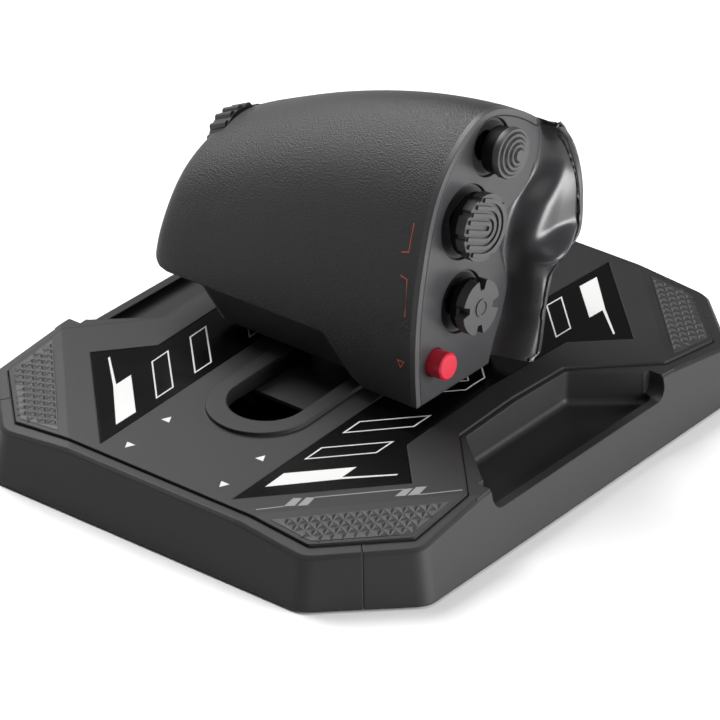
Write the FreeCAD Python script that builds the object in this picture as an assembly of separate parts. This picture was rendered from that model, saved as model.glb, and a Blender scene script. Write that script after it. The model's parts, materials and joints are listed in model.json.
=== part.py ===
"""Sliding throttle unit for a desk cockpit: a hand grip on two guide rails.

Frame: origin on the desk under the middle of the base, +X towards the thumb side,
+Y away from the pilot, +Z up. All sizes are in millimetres.
"""
import FreeCAD, Part
import math
import os

from FreeCAD import Placement, Rotation, Vector

# ---------------------------------------------------------------- driving sizes
# Base outline: the deck is a chamfered rectangle, the wall stands outside it.
DECK_HALF_W = 92.0          # half width of the deck across X
DECK_HALF_D = 112.0         # half depth of the deck along Y
CHAMFER_X = 66.0            # where the corner chamfer leaves the front edge
CHAMFER_Y = 87.0            # where the corner chamfer meets the side edge
FOOT_LIFT = 1.0             # underside of the base above the desk
BASE_TOP = 29.0             # deck height at the middle
ROOF_FALL = 0.042           # fall of the deck per millimetre towards front and rear
CORNER_FALL = 2.5           # extra fall of each corner facet at its chamfer
CREASE_X = 41.0             # where a corner facet's crease meets the front edge
CREASE_Y = 58.0             # where the crease meets the side edge
SKIRT_OUT = 9.0             # skirt outside the deck outline at its foot
DRAFT = 0.207               # skirt moves inwards this much per millimetre of height
CORNER_R = 9.0              # rounding of the skirt's upright corners
RIM_DROP = 1.0              # rim below the deck
RIM_ROUND = 1.1             # chamfer of the rim's outer edge
WALL = 2.5                  # moulded wall thickness
COVER_T = 3.0               # deck cover thickness
GAP = 0.35                  # shadow gap round an inset cover or pad
SEAM = 0.3                  # gap at the upright seams between skirt mouldings
LEDGE = 4.0                 # width of the ledge that carries the deck cover
PLATE_T = 2.5               # bottom plate thickness

# Side trays
NOTCH_X = 67.0              # deck edge beside a tray
NOTCH_Y = 30.0              # half length of that edge
TRAY_MOUTH_Y = 57.5         # where the notch reaches the deck's side edge
TRAY_WALL = 1.6             # tray liner beside the deck
TRAY_FLOOR = 14.0           # tray floor height
TRAY_LIP = 17.5             # height of the open outer lip
TRAY_R = 4.0                # fillet round the tray floor
MOUTH_HALF = 50.0           # half length of the opening in the skirt

# Slot and sliding gear
TRAVEL = 40.0               # slide travel each way
SLOT_HALF_W = 14.6          # slot half width
NECK_HALF_W = 12.0          # half width of the stem where it passes the slot
NECK_HALF_L = 22.0          # half length of the stem there
SLOT_END_ROOM = 5.6         # free room past the stem at each end of travel
SLOT_RIM_OUT = 5.9          # width of the raised ring round the slot
SLOT_RIM_UP = 1.5           # height of that ring above the deck
SLOT_WALL_T = 1.6           # lip that hangs below the ring
RAIL_R = 3.0                # guide rail radius
RAIL_X = 32.0               # rail spacing from the middle
RAIL_Z = 14.6               # rail height
RAIL_HALF_L = 107.0         # rail half length
RUN_FIT = 0.05              # radial clearance of a sliding or turning fit
BUSH_T = 1.7                # slide bushing wall
BUSH_L = 12.0               # slide bushing length
CARRIAGE_HALF_L = 26.0      # carriage half length
CARRIAGE_H = 10.8           # carriage height
SHIELD_HALF_L = 42.2        # dust shield half length
SHIELD_HALF_W = 24.0        # dust shield half width
SHIELD_T = 1.5              # dust shield thickness
GEAR_MODULE = 1.0           # rack and pinion module
PINION_TEETH = 30
PINION_X = -5.0             # pinion axis
PINION_T = 2.8              # pinion face width
RACK_BAR = 5.0              # rack depth behind its teeth
BACKLASH = 0.3              # play between rack and pinion flanks

# Fixings, feet, slide tension and the pedal socket
POST_X = 58.0               # cover screw posts
POST_Y = 80.0
POST_R = 4.5
SCREW_R = 1.6
HEAD_R = 3.2
FOOT_R = 8.0
FOOT_X = 78.0
FOOT_Y = 84.0
TENSION_X = -30.0           # slide tension screw
TENSION_HEAD_R = 6.0
TENSION_R = 2.5
ARM_HALF_W = 6.0
ARM_ROOT_Y = -40.0
PORT_X = 62.0               # socket for a pedal lead, on the far wall
PORT_Z = 12.0
PORT_HALF_W = 5.2
PORT_HALF_H = 3.6

# Hand grip, as profiles in the Y-Z plane at the thumb side
GRIP_BASE_Z = 48.0          # the grip's height tapers above this level
GRIP_TOP_Z = 127.6          # ridge height at the thumb side
GRIP_END_X = -72.5          # little-finger end
GRIP_RIGHT_X = 64.0         # past the thumb flange
TAPER = 0.0132              # ridge fall towards the little finger
TAPER_POWER = 1.67
TAPER_FROM_X = 44.0
PALM_PROFILE = [(-32.3, 28.0), (-32.5, 48.0), (-30.9, 63.0), (-24.9, 87.0), (-14.5, 109.6),
                (0.4, 123.2), (12.0, 127.6), (26.0, 124.7), (41.6, 114.9)]
FLANGE_PROFILE = [(47.8, 110.7), (53.2, 100.5), (54.7, 89.0), (53.6, 79.5), (50.2, 70.0),
                  (43.5, 67.2), (35.2, 66.0), (30.4, 60.0), (25.8, 47.0), (18.0, 28.0)]
FINGER_PROFILE = [(46.0, 109.0), (49.0, 98.0), (49.5, 86.0), (48.0, 74.0), (44.0, 63.0),
                  (40.0, 57.0), (37.0, 52.0), (34.5, 46.0), (32.5, 38.0), (31.5, 28.0)]
FLANGE_FROM_X = 44.0        # the flange profile holds from here to the thumb side
FINGER_TO_X = 32.0          # the finger profile holds from here to the far end
END_R = 8.0                 # rounding of the little-finger end
HEM_R = 9.0                 # rounding of the lower corner there
PALM_HEM_Z = 48.6           # lower edge of the palm shell
PALM_CORNER_Z = 33.0        # lower edge beside the thumb panel
HEM_FROM_X = 8.0            # where the lower edge starts to drop
HEM_TO_X = 24.0             # where it has dropped
SEAM_Y = 41.6               # seam between palm shell and front shell
PANEL_X = 50.0              # thumb panel at the height PANEL_Z
PANEL_Z = 33.0
PANEL_LEAN = 0.06           # the panel leans towards the grip per millimetre of height
PANEL_T = 3.0
CREASE = [(6.6, 28.0), (8.2, 34.3), (12.7, 42.3), (17.8, 50.0), (20.4, 58.0), (19.4, 66.0),
          (16.6, 76.0), (20.5, 86.0), (30.4, 90.5), (36.5, 94.9), (40.5, 103.1), (41.5, 114.5),
          (41.0, 134.0)]
CREASE_SPLIT = 0.6          # the panel's edge stands this far past the crease
CHANNEL_ROWS = 14
CHANNEL_FACETS = 9
# Thumb channel stations: height, crease Y, channel floor (X, Y), flange foot (X, Y), lip (X, Y)
CHANNEL = [(26.0, 6.4, (46.5, 10.5), (53.5, 13.0), (61.0, 17.0)),
           (38.0, 10.4, (46.0, 14.8), (53.3, 17.8), (60.5, 22.3)),
           (48.0, 16.4, (45.5, 20.5), (53.0, 23.0), (59.7, 25.9)),
           (60.0, 20.6, (45.0, 24.2), (53.3, 26.2), (58.6, 30.4)),
           (72.0, 17.8, (43.5, 25.5), (52.0, 29.5), (57.0, 50.0)),
           (84.0, 19.4, (43.0, 30.0), (51.6, 38.0), (55.5, 53.5)),
           (94.0, 35.6, (43.5, 41.5), (50.6, 48.5), (54.0, 54.0)),
           (104.0, 40.8, (44.0, 44.5), (49.3, 48.5), (52.6, 51.8)),
           (114.0, 41.5, (44.4, 43.0), (47.5, 43.8), (51.0, 44.6)),
           (130.0, 41.3, (43.8, 42.0), (46.8, 42.6), (50.0, 43.2))]

# Lower shell and stem
TUB_LEFT_TOP = -62.0        # left end of the lower shell at its top
TUB_LEFT = -48.0            # left end at its floor
TUB_RIGHT = 33.0
TUB_REAR = -23.5
TUB_FRONT = 23.0
TUB_FLOOR = 31.6
TUB_TOP = 51.0
STEM_TOP = 62.0
STEM_HALF_W = 9.0
STEM_HALF_L = 16.0
WIRE_BORE_R = 5.0

# Controls: face centre as (Y, Z) on the thumb panel, cap radius, height over the panel
UPPER_HAT = (14.7, 114.2, 8.0, 9.0)
MIDDLE_HAT = (-1.2, 92.1, 11.0, 8.4)
LOWER_HAT = (-5.2, 63.0, 8.9, 8.4)
RED_BUTTON = (-21.5, 46.3, 5.0, 6.4)
HAT_TILT = 8.0              # degrees each way
HAT_PIVOT = 9.0             # pivot depth behind the panel face
HAT_CAP_T = 6.0
HAT_STEM_R = 2.5
RING_IN = 3.7               # half widths of the square gimbal ring
RING_OUT = 5.5
RING_T = 3.0
PIVOT_PIN_R = 1.0
MODULE_HALF = 8.0           # half width of a switch module
MODULE_BORE = 6.7           # half width of its inside
SOCKET_T = 1.2              # flange of the dished socket
SOCKET_DISH = 1.8           # depth of its dish
THROAT_ROOM = 1.7           # free room round the tilted stem
WELL_ROOM = 2.6             # hole in the panel wider than the cap
BUTTON_TRAVEL = 1.8

# Rotary wheel at the little-finger end
WHEEL_TILT = 25.0           # degrees the axis rises towards the thumb
WHEEL_CENTRE = (-63.9, 13.0, 79.9)
WHEEL_R = 16.0
WHEEL_W = 9.0
WHEEL_RIBS = 20
WHEEL_RIB_UP = 1.2
WHEEL_AXLE_R = 3.0
WHEEL_ROOM = 1.0

# Finger side controls
STICK_AT = (15.0, 92.0)     # X, Z of the mini-stick
KEY_AT = [(-7.0, 90.0), (-25.0, 84.0)]
STICK_R = 7.0               # mini-stick cap radius and height
STICK_UP = 12.0
KEY_R = 4.5                 # finger keys: radius, height, depth behind the wall's face
KEY_UP = 6.5
KEY_WALL = 2.2
HUB_R = 3.2                 # paddle hub and the lugs beside it
HUB_HALF = 4.0
LUG_T = 2.2
PADDLE_PIN_R = 1.5
PADDLE_AT = (-16.0, 62.0)   # X, Z of the paddle pivot
PADDLE_HALF = 28.0
PADDLE_H = 13.0
PADDLE_Y = 54.5
PADDLE_PIN_Y = 51.0         # pivot behind the bar
FINGER_WALL_Y = 46.0        # face that carries the stick and the keys
PADDLE_T = 4.5

PARTS = {}


# ------------------------------------------------------------------ small tools
def rounded_wire(points, radius, z=0.0):
    """Closed wire through plan points, each corner rounded to the radius."""
    edges = []
    ends = []
    count = len(points)
    for i in range(count):
        before, here, after = (Vector(*points[(i + k) % count], z) for k in (-1, 0, 1))
        to_before = (before - here).normalize()
        to_after = (after - here).normalize()
        half = to_before.getAngle(to_after) / 2
        if radius <= 0 or half > math.pi / 2 - 1e-3:
            ends.append((here, here, None))
            continue
        reach = radius / math.tan(half)
        middle = here + (to_before + to_after).normalize() * (radius / math.sin(half) - radius)
        ends.append((here + to_before * reach, here + to_after * reach, middle))
    for i in range(count):
        start, stop, middle = ends[i]
        if middle is not None:
            edges.append(Part.Arc(start, middle, stop).toShape())
        following = ends[(i + 1) % count][0]
        edges.append(Part.LineSegment(stop, following).toShape())
    return Part.Wire(edges)


def plate(points, low, high, radius=0.0):
    """Upright prism over plan points between two heights."""
    return Part.Face(rounded_wire(points, radius, low)).extrude(Vector(0, 0, high - low))


def side_prism(points, x_low, x_high):
    """Prism along X over a closed outline of (Y, Z) points."""
    wire = Part.makePolygon([Vector(x_low, y, z) for y, z in points + points[:1]])
    return Part.Face(wire).extrude(Vector(x_high - x_low, 0, 0))


def front_prism(points, y_low, y_high):
    """Prism along Y over a closed outline of (X, Z) points."""
    wire = Part.makePolygon([Vector(x, y_low, z) for x, z in points + points[:1]])
    return Part.Face(wire).extrude(Vector(0, y_high - y_low, 0))


def grown(points, amount):
    """Counter-clockwise outline moved outwards by the amount, corners kept sharp."""
    result = []
    count = len(points)
    for i in range(count):
        (ax, ay), (bx, by), (cx, cy) = (points[(i + k) % count] for k in (-1, 0, 1))
        first = math.hypot(bx - ax, by - ay)
        second = math.hypot(cx - bx, cy - by)
        n1 = ((by - ay) / first, (ax - bx) / first)
        n2 = ((cy - by) / second, (bx - cx) / second)
        scale = amount / (1 + n1[0] * n2[0] + n1[1] * n2[1])
        result.append((bx + (n1[0] + n2[0]) * scale, by + (n1[1] + n2[1]) * scale))
    return result


def block(x_low, x_high, y_low, y_high, z_low, z_high):
    """Box between two corners."""
    return Part.makeBox(x_high - x_low, y_high - y_low, z_high - z_low,
                        Vector(x_low, y_low, z_low))


def rod(radius, start, direction, length):
    """Cylinder from a start point along a direction."""
    return Part.makeCylinder(radius, length, Vector(*start), Vector(*direction))


def stadium(half_w, half_l, low, high):
    """Upright prism with straight sides and half-round ends along Y."""
    straight = half_l - half_w
    body = block(-half_w, half_w, -straight, straight, low, high)
    for end in (-straight, straight):
        body = body.fuse(rod(half_w, (0, end, low), (0, 0, 1), high - low))
    return body.removeSplitter()


def mirror_x(shape):
    """Mirror image across the middle plane between left and right."""
    return shape.mirror(Vector(0, 0, 0), Vector(1, 0, 0))


def mirror_y(shape):
    """Mirror image across the middle plane between front and rear."""
    return shape.mirror(Vector(0, 0, 0), Vector(0, 1, 0))


def joined(shapes):
    """One solid from touching or overlapping shapes."""
    result = shapes[0]
    for shape in shapes[1:]:
        result = result.fuse(shape)
    return result.removeSplitter()


def largest(shape):
    """The biggest solid of a shape."""
    return max(shape.Solids, key=lambda solid: solid.Volume)


def keep(name, shape):
    """Note a finished piece under its node name."""
    PARTS[name] = shape


# ---------------------------------------------------------------- base geometry
DECK = [(DECK_HALF_W, -CHAMFER_Y), (DECK_HALF_W, CHAMFER_Y), (CHAMFER_X, DECK_HALF_D),
        (-CHAMFER_X, DECK_HALF_D), (-DECK_HALF_W, CHAMFER_Y), (-DECK_HALF_W, -CHAMFER_Y),
        (-CHAMFER_X, -DECK_HALF_D), (CHAMFER_X, -DECK_HALF_D)]
RIGHT_NOTCH = [(DECK_HALF_W, -TRAY_MOUTH_Y), (NOTCH_X, -NOTCH_Y), (NOTCH_X, NOTCH_Y),
               (DECK_HALF_W, TRAY_MOUTH_Y)]
LEFT_NOTCH = [(-x, -y) for x, y in RIGHT_NOTCH]
COVER = DECK[:1] + RIGHT_NOTCH + DECK[1:5] + LEFT_NOTCH + DECK[5:]
FAR = 150.0
SKIRT_TOP = BASE_TOP + 3.0
SLOT_HALF_L = NECK_HALF_L + TRAVEL + SLOT_END_ROOM
CARRIAGE_Z = RAIL_Z - RAIL_R - BUSH_T - 0.4
SHIELD_Z = CARRIAGE_Z + CARRIAGE_H
PLATE_TOP = FOOT_LIFT + PLATE_T


def roof(y):
    """Deck height at a distance along Y."""
    return BASE_TOP - ROOF_FALL * abs(y)


def under_roof(drop):
    """Everything below the deck surface, lowered by a drop."""
    edge = roof(FAR) - drop
    body = side_prism([(-FAR, -20.0), (FAR, -20.0), (FAR, edge), (0.0, BASE_TOP - drop),
                       (-FAR, edge)], -FAR, FAR)
    corner_x = (CHAMFER_X + DECK_HALF_W) / 2
    corner_y = (CHAMFER_Y + DECK_HALF_D) / 2
    crease_a = Vector(CREASE_X, DECK_HALF_D, roof(DECK_HALF_D) - drop)
    crease_b = Vector(DECK_HALF_W, CREASE_Y, roof(CREASE_Y) - drop)
    low = Vector(corner_x, corner_y, roof(corner_y) - CORNER_FALL - drop)
    up = (crease_b - crease_a).cross(low - crease_a)
    up = up if up.z > 0 else up * -1
    wedge = Part.makeBox(2 * FAR, 2 * FAR, FAR, Vector(-FAR, -FAR, 0))
    wedge.Placement = Placement(low, Rotation(Vector(0, 0, 1), up))
    for cut in (wedge, mirror_x(wedge), mirror_y(wedge), mirror_x(mirror_y(wedge))):
        body = body.cut(cut)
    return body


def skirt_block(inset, low, high):
    """Drafted outer form of the base, moved inwards by an inset."""
    wires = []
    for z in (low, high):
        offset = SKIRT_OUT - DRAFT * (z - FOOT_LIFT) - inset
        wires.append(rounded_wire(grown(DECK, offset), CORNER_R, z))
    return Part.makeLoft(wires, True, True)


def sector(side):
    """Plan wedge that one of the four skirt mouldings fills."""
    mid_x = (CHAMFER_X + DECK_HALF_W) / 2
    mid_y = (CHAMFER_Y + DECK_HALF_D) / 2
    run = Vector(DECK_HALF_D - CHAMFER_Y, DECK_HALF_W - CHAMFER_X, 0).normalize()
    inner = Vector(mid_x, mid_y, 0) - run * 30.0
    outer = Vector(mid_x, mid_y, 0) + run * 40.0
    if side == "rear":
        points = [(-inner.x, -inner.y - SEAM), (-outer.x, -outer.y - SEAM),
                  (outer.x, -outer.y - SEAM), (inner.x, -inner.y - SEAM)]
    else:
        points = [(inner.x, -inner.y), (outer.x, -outer.y), (outer.x, outer.y),
                  (inner.x, inner.y)]
    return plate(points, -5.0, 60.0)


def make_skirt():
    """Four skirt mouldings: rear and front fascia, left and right side tray."""
    outside = skirt_block(0.0, FOOT_LIFT, SKIRT_TOP).common(under_roof(RIM_DROP))
    rim_edges = [e for e in outside.Edges if e.BoundBox.ZMin > roof(DECK_HALF_D) - 6.0
                 and e.Length > 20.0 and is_outline(e)]
    outside = outside.makeChamfer(RIM_ROUND, rim_edges)
    inside = skirt_block(WALL, FOOT_LIFT - 1.0, SKIRT_TOP).common(under_roof(RIM_DROP + WALL))
    ring = outside.cut(inside).cut(plate(COVER, 0.0, SKIRT_TOP + 5.0))
    ledge = plate(COVER, 0.0, SKIRT_TOP).cut(plate(grown(COVER, -LEDGE), -1.0, SKIRT_TOP + 1))
    ledge = ledge.common(under_roof(COVER_T).cut(under_roof(COVER_T + 2.0)))
    ring = ring.fuse(ledge)
    rear = largest(ring.common(sector("rear")))
    keep("rear_fascia", rear)
    keep("front_fascia", mirror_y(rear))
    tray = largest(make_tray(ring.common(sector("side"))))
    keep("side_tray_right", tray)
    keep("side_tray_left", mirror_x(tray))


def is_outline(edge):
    """True for an edge that runs round the outside of the base."""
    middle = edge.CenterOfMass
    reach = grown(DECK, 0.0)
    wide = abs(middle.x) > reach[0][0] or abs(middle.y) > reach[2][1]
    across = abs(middle.x) / (DECK_HALF_W + 4) + abs(middle.y) / (DECK_HALF_D + 4) > 1.6
    return wide or across


def make_tray(skirt_side):
    """Right skirt moulding with its scooped tray, open over a lip."""
    reach = DECK_HALF_W + 2.0
    inner_x = NOTCH_X + TRAY_WALL
    slope = (MOUTH_HALF + 1.4 - NOTCH_Y) / (reach - inner_x)
    mouth = NOTCH_Y - 1.0 + slope * (reach - inner_x)
    pocket = plate([(inner_x, 1.0 - NOTCH_Y), (reach, -mouth), (reach, mouth),
                    (inner_x, NOTCH_Y - 1.0)], TRAY_FLOOR, SKIRT_TOP + 10.0, 3.0)
    floor_edges = [e for e in pocket.Edges if e.BoundBox.ZMax < TRAY_FLOOR + 0.01]
    pocket = pocket.makeFillet(TRAY_R - 1.5, floor_edges)
    opening = block(reach - 4.0, FAR, -MOUTH_HALF, MOUTH_HALF, TRAY_LIP, SKIRT_TOP + 10.0)
    opening = opening.makeFillet(5.0, [e for e in opening.Edges
                                       if e.BoundBox.ZMax < TRAY_LIP + 0.01
                                       and e.BoundBox.YLength < 0.01])
    outer_x = reach + 3.5
    liner = plate([RIGHT_NOTCH[1], RIGHT_NOTCH[0], (outer_x, -TRAY_MOUTH_Y),
                   (outer_x, TRAY_MOUTH_Y), RIGHT_NOTCH[3], RIGHT_NOTCH[2]],
                  TRAY_FLOOR - 2.0, SKIRT_TOP)
    liner = liner.common(under_roof(RIM_DROP)).common(skirt_block(0.5, FOOT_LIFT, SKIRT_TOP))
    return skirt_side.fuse(liner).cut(pocket).cut(opening)


def deck_panel_outline():
    """Plan outline of the right glossy deck insert."""
    half = [(29.6, 108.2), (56.2, 46.2), (72.8, 64.2)]
    (in_x, in_y), (step_x, step_y), (out_x, out_y) = half
    return [(in_x, -in_y), (out_x, -out_y), (step_x, -step_y), (step_x, step_y),
            (out_x, out_y), (in_x, in_y)]


def pad_outline():
    """Plan outline of the grip pad on the front right corner facet."""
    facet = [(CREASE_X, DECK_HALF_D), (DECK_HALF_W, CREASE_Y), (DECK_HALF_W, CHAMFER_Y),
             (CHAMFER_X, DECK_HALF_D)]
    sharp = grown(facet, -3.4)
    blunt = 5.0
    (ax, ay), (bx, by), (cx, cy), (dx, dy) = sharp
    length = math.hypot(bx - ax, by - ay)
    ux, uy = (bx - ax) / length, (by - ay) / length
    return [(ax + blunt, ay), (ax + ux * blunt, ay + uy * blunt),
            (bx - ux * blunt, by - uy * blunt), (bx, by + blunt), (cx, cy), (dx, dy)]


def four_corners(shape):
    """The front right shape and its mirror images at the other corners."""
    return [shape, mirror_x(shape), mirror_y(shape), mirror_x(mirror_y(shape))]


def make_cover():
    """Deck cover with its slot, glossy inserts and corner grip pads."""
    outline = grown(COVER, -GAP)
    cover = plate(outline, 0.0, SKIRT_TOP, 2.0).common(under_roof(0.0).cut(under_roof(COVER_T)))
    ring = stadium(SLOT_HALF_W + SLOT_RIM_OUT, SLOT_HALF_L + SLOT_RIM_OUT + 2.3, 0.0, 40.0)
    ring = ring.common(under_roof(-SLOT_RIM_UP).cut(under_roof(0.5)))
    lip = stadium(SLOT_HALF_W + SLOT_WALL_T, SLOT_HALF_L + SLOT_WALL_T,
                  SHIELD_Z + SHIELD_T + 0.6, BASE_TOP - COVER_T)
    lip = lip.common(under_roof(COVER_T - 0.5))
    cover = cover.fuse(ring).fuse(lip)
    cover = cover.cut(stadium(SLOT_HALF_W, SLOT_HALF_L, 0.0, 50.0))
    panel = deck_panel_outline()
    recess = plate(panel, 0.0, 40.0).common(under_roof(-5.0).cut(under_roof(1.4)))
    insert = plate(grown(panel, -0.25), 0.0, 40.0).common(under_roof(0.15).cut(under_roof(1.4)))
    cover = cover.cut(recess).cut(mirror_x(recess))
    keep("deck_panel_right", insert)
    keep("deck_panel_left", mirror_x(insert))
    pad = pad_outline()
    well = plate(pad, 0.0, 40.0).common(under_roof(-5.0).cut(under_roof(1.2)))
    for shape in four_corners(well):
        cover = cover.cut(shape)
    pad_solid = plate(grown(pad, -0.25), 0.0, 40.0)
    pad_solid = pad_solid.common(under_roof(0.3).cut(under_roof(1.2)))
    keep("grip_pads", Part.makeCompound(four_corners(pad_solid)))
    for x in (-POST_X, POST_X):
        for y in (-POST_Y, POST_Y):
            post = rod(POST_R, (x, y, PLATE_TOP), (0, 0, 1), roof(y) - PLATE_TOP - COVER_T + 1.0)
            cover = cover.fuse(post.cut(rod(SCREW_R + RUN_FIT, (x, y, 0), (0, 0, 1), 16.0)))
    keep("top_cover", largest(cover.removeSplitter()))


def make_bottom():
    """Bottom plate, rubber feet, screws and the slide tension gear."""
    base = plate(grown(DECK, SKIRT_OUT - WALL - 0.8), FOOT_LIFT, PLATE_TOP, CORNER_R - WALL)
    for x in (-30.0, 0.0, 30.0):
        for y in (-84.0, 78.0):
            base = base.fuse(block(x - 1.0, x + 1.0, y, y + 10.0, PLATE_TOP, PLATE_TOP + 3.0))
    base = base.fuse(rod(5.0, (TENSION_X, 0, PLATE_TOP), (0, 0, 1), 2.5))
    arm_z = CARRIAGE_Z - 2.2
    base = base.fuse(block(TENSION_X - ARM_HALF_W, TENSION_X + ARM_HALF_W, ARM_ROOT_Y,
                           ARM_ROOT_Y + 8.0, PLATE_TOP, arm_z))
    base = base.cut(rod(TENSION_HEAD_R + 0.5, (TENSION_X, 0, 0), (0, 0, 1), FOOT_LIFT + 1.6))
    base = base.cut(rod(TENSION_R + RUN_FIT, (TENSION_X, 0, 0), (0, 0, 1), 20.0))
    base = base.cut(rod(2.5 + RUN_FIT, (PINION_X, 0, FOOT_LIFT + 1.0), (0, 0, 1), 20.0))
    feet = []
    screws = []
    for x in (-1, 1):
        for y in (-1, 1):
            base = base.cut(rod(FOOT_R + 0.2, (x * FOOT_X, y * FOOT_Y, 0), (0, 0, 1),
                                FOOT_LIFT + 0.6))
            feet.append(foot(x * FOOT_X, y * FOOT_Y))
            at = (x * POST_X, y * POST_Y, 0)
            base = base.cut(rod(SCREW_R + 0.2, at, (0, 0, 1), 10.0))
            base = base.cut(rod(HEAD_R + 0.3, at, (0, 0, 1), FOOT_LIFT + 1.2))
            screws.append(screw(at))
    keep("base_plate", base.removeSplitter())
    keep("rubber_feet", Part.makeCompound(feet))
    keep("base_screws", Part.makeCompound(screws))
    arm = block(TENSION_X - ARM_HALF_W, TENSION_X + ARM_HALF_W, ARM_ROOT_Y, ARM_HALF_W,
                arm_z, arm_z + 0.8)
    keep("tension_spring", arm)
    keep("tension_pad", rod(ARM_HALF_W - 1.0, (TENSION_X, 0, arm_z + 0.8), (0, 0, 1), 1.2))
    head = rod(TENSION_HEAD_R, (TENSION_X, 0, FOOT_LIFT + 0.3), (0, 0, 1), 1.2)
    head = head.cut(block(TENSION_X - 1.0, TENSION_X + 1.0, -FAR, FAR, 0.0, FOOT_LIFT + 0.9))
    shank = rod(TENSION_R, (TENSION_X, 0, FOOT_LIFT + 1.5), (0, 0, 1), arm_z - FOOT_LIFT - 1.6)
    keep("tension_screw", joined([head, shank]))


def foot(x, y):
    """Rubber foot with a softened rim, seated in its recess."""
    body = rod(FOOT_R, (x, y, 0), (0, 0, 1), FOOT_LIFT + 0.6)
    return body.makeChamfer(0.4, [e for e in body.Edges if e.BoundBox.ZMax < 0.01])


def screw(at):
    """Pan-head screw with a cross recess, pointing up into its post."""
    x, y, _ = at
    head_low = FOOT_LIFT + 0.1
    body = rod(HEAD_R, (x, y, head_low), (0, 0, 1), FOOT_LIFT + 1.2 - head_low)
    body = body.fuse(rod(SCREW_R, (x, y, head_low), (0, 0, 1), 12.0))
    for size in ((2.0, 0.4), (0.4, 2.0)):
        body = body.cut(block(x - size[0], x + size[0], y - size[1], y + size[1],
                              0.0, head_low + 0.6))
    return body


# -------------------------------------------------------------------- slide gear
def gear_profile(teeth, module, slack):
    """Plan outline of an involute spur gear with thinned teeth."""
    pitch_r = module * teeth / 2
    base_r = pitch_r * math.cos(math.radians(20))
    outer_r = pitch_r + module
    root_r = pitch_r - 1.25 * module
    start_r = max(base_r, root_r)

    def involute(radius):
        angle = math.acos(min(1.0, base_r / radius))
        return math.tan(angle) - angle

    half = math.pi / (2 * teeth) - slack / (4 * pitch_r) + involute(pitch_r)
    points = []
    for tooth in range(teeth):
        centre = 2 * math.pi * tooth / teeth
        flank = []
        for step in range(4):
            radius = start_r + (outer_r - start_r) * step / 3
            flank.append((radius, half - involute(radius)))
        side = [(root_r, half - involute(start_r))] + flank
        for radius, angle in [(r, -a) for r, a in side] + list(reversed(side)):
            points.append((radius * math.cos(centre + angle), radius * math.sin(centre + angle)))
    return points


def rack_profile(half_length, module, slack, pitch_x, back_x):
    """Plan outline of a rack along Y whose teeth point to -X."""
    pitch = math.pi * module
    lean = math.tan(math.radians(20)) * module
    count = int(half_length / pitch)
    points = [(back_x, -half_length), (back_x, half_length), (pitch_x + 1.25 * module,
                                                              half_length)]
    half = pitch / 4 - slack / 4
    for tooth in range(count - 1, -count, -1):
        middle = (tooth + 0.5) * pitch
        points += [(pitch_x + 1.25 * module, middle + half + 1.25 * lean),
                   (pitch_x - module, middle + half - lean),
                   (pitch_x - module, middle - half + lean),
                   (pitch_x + 1.25 * module, middle - half - 1.25 * lean)]
    points.append((pitch_x + 1.25 * module, -half_length))
    return points


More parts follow.
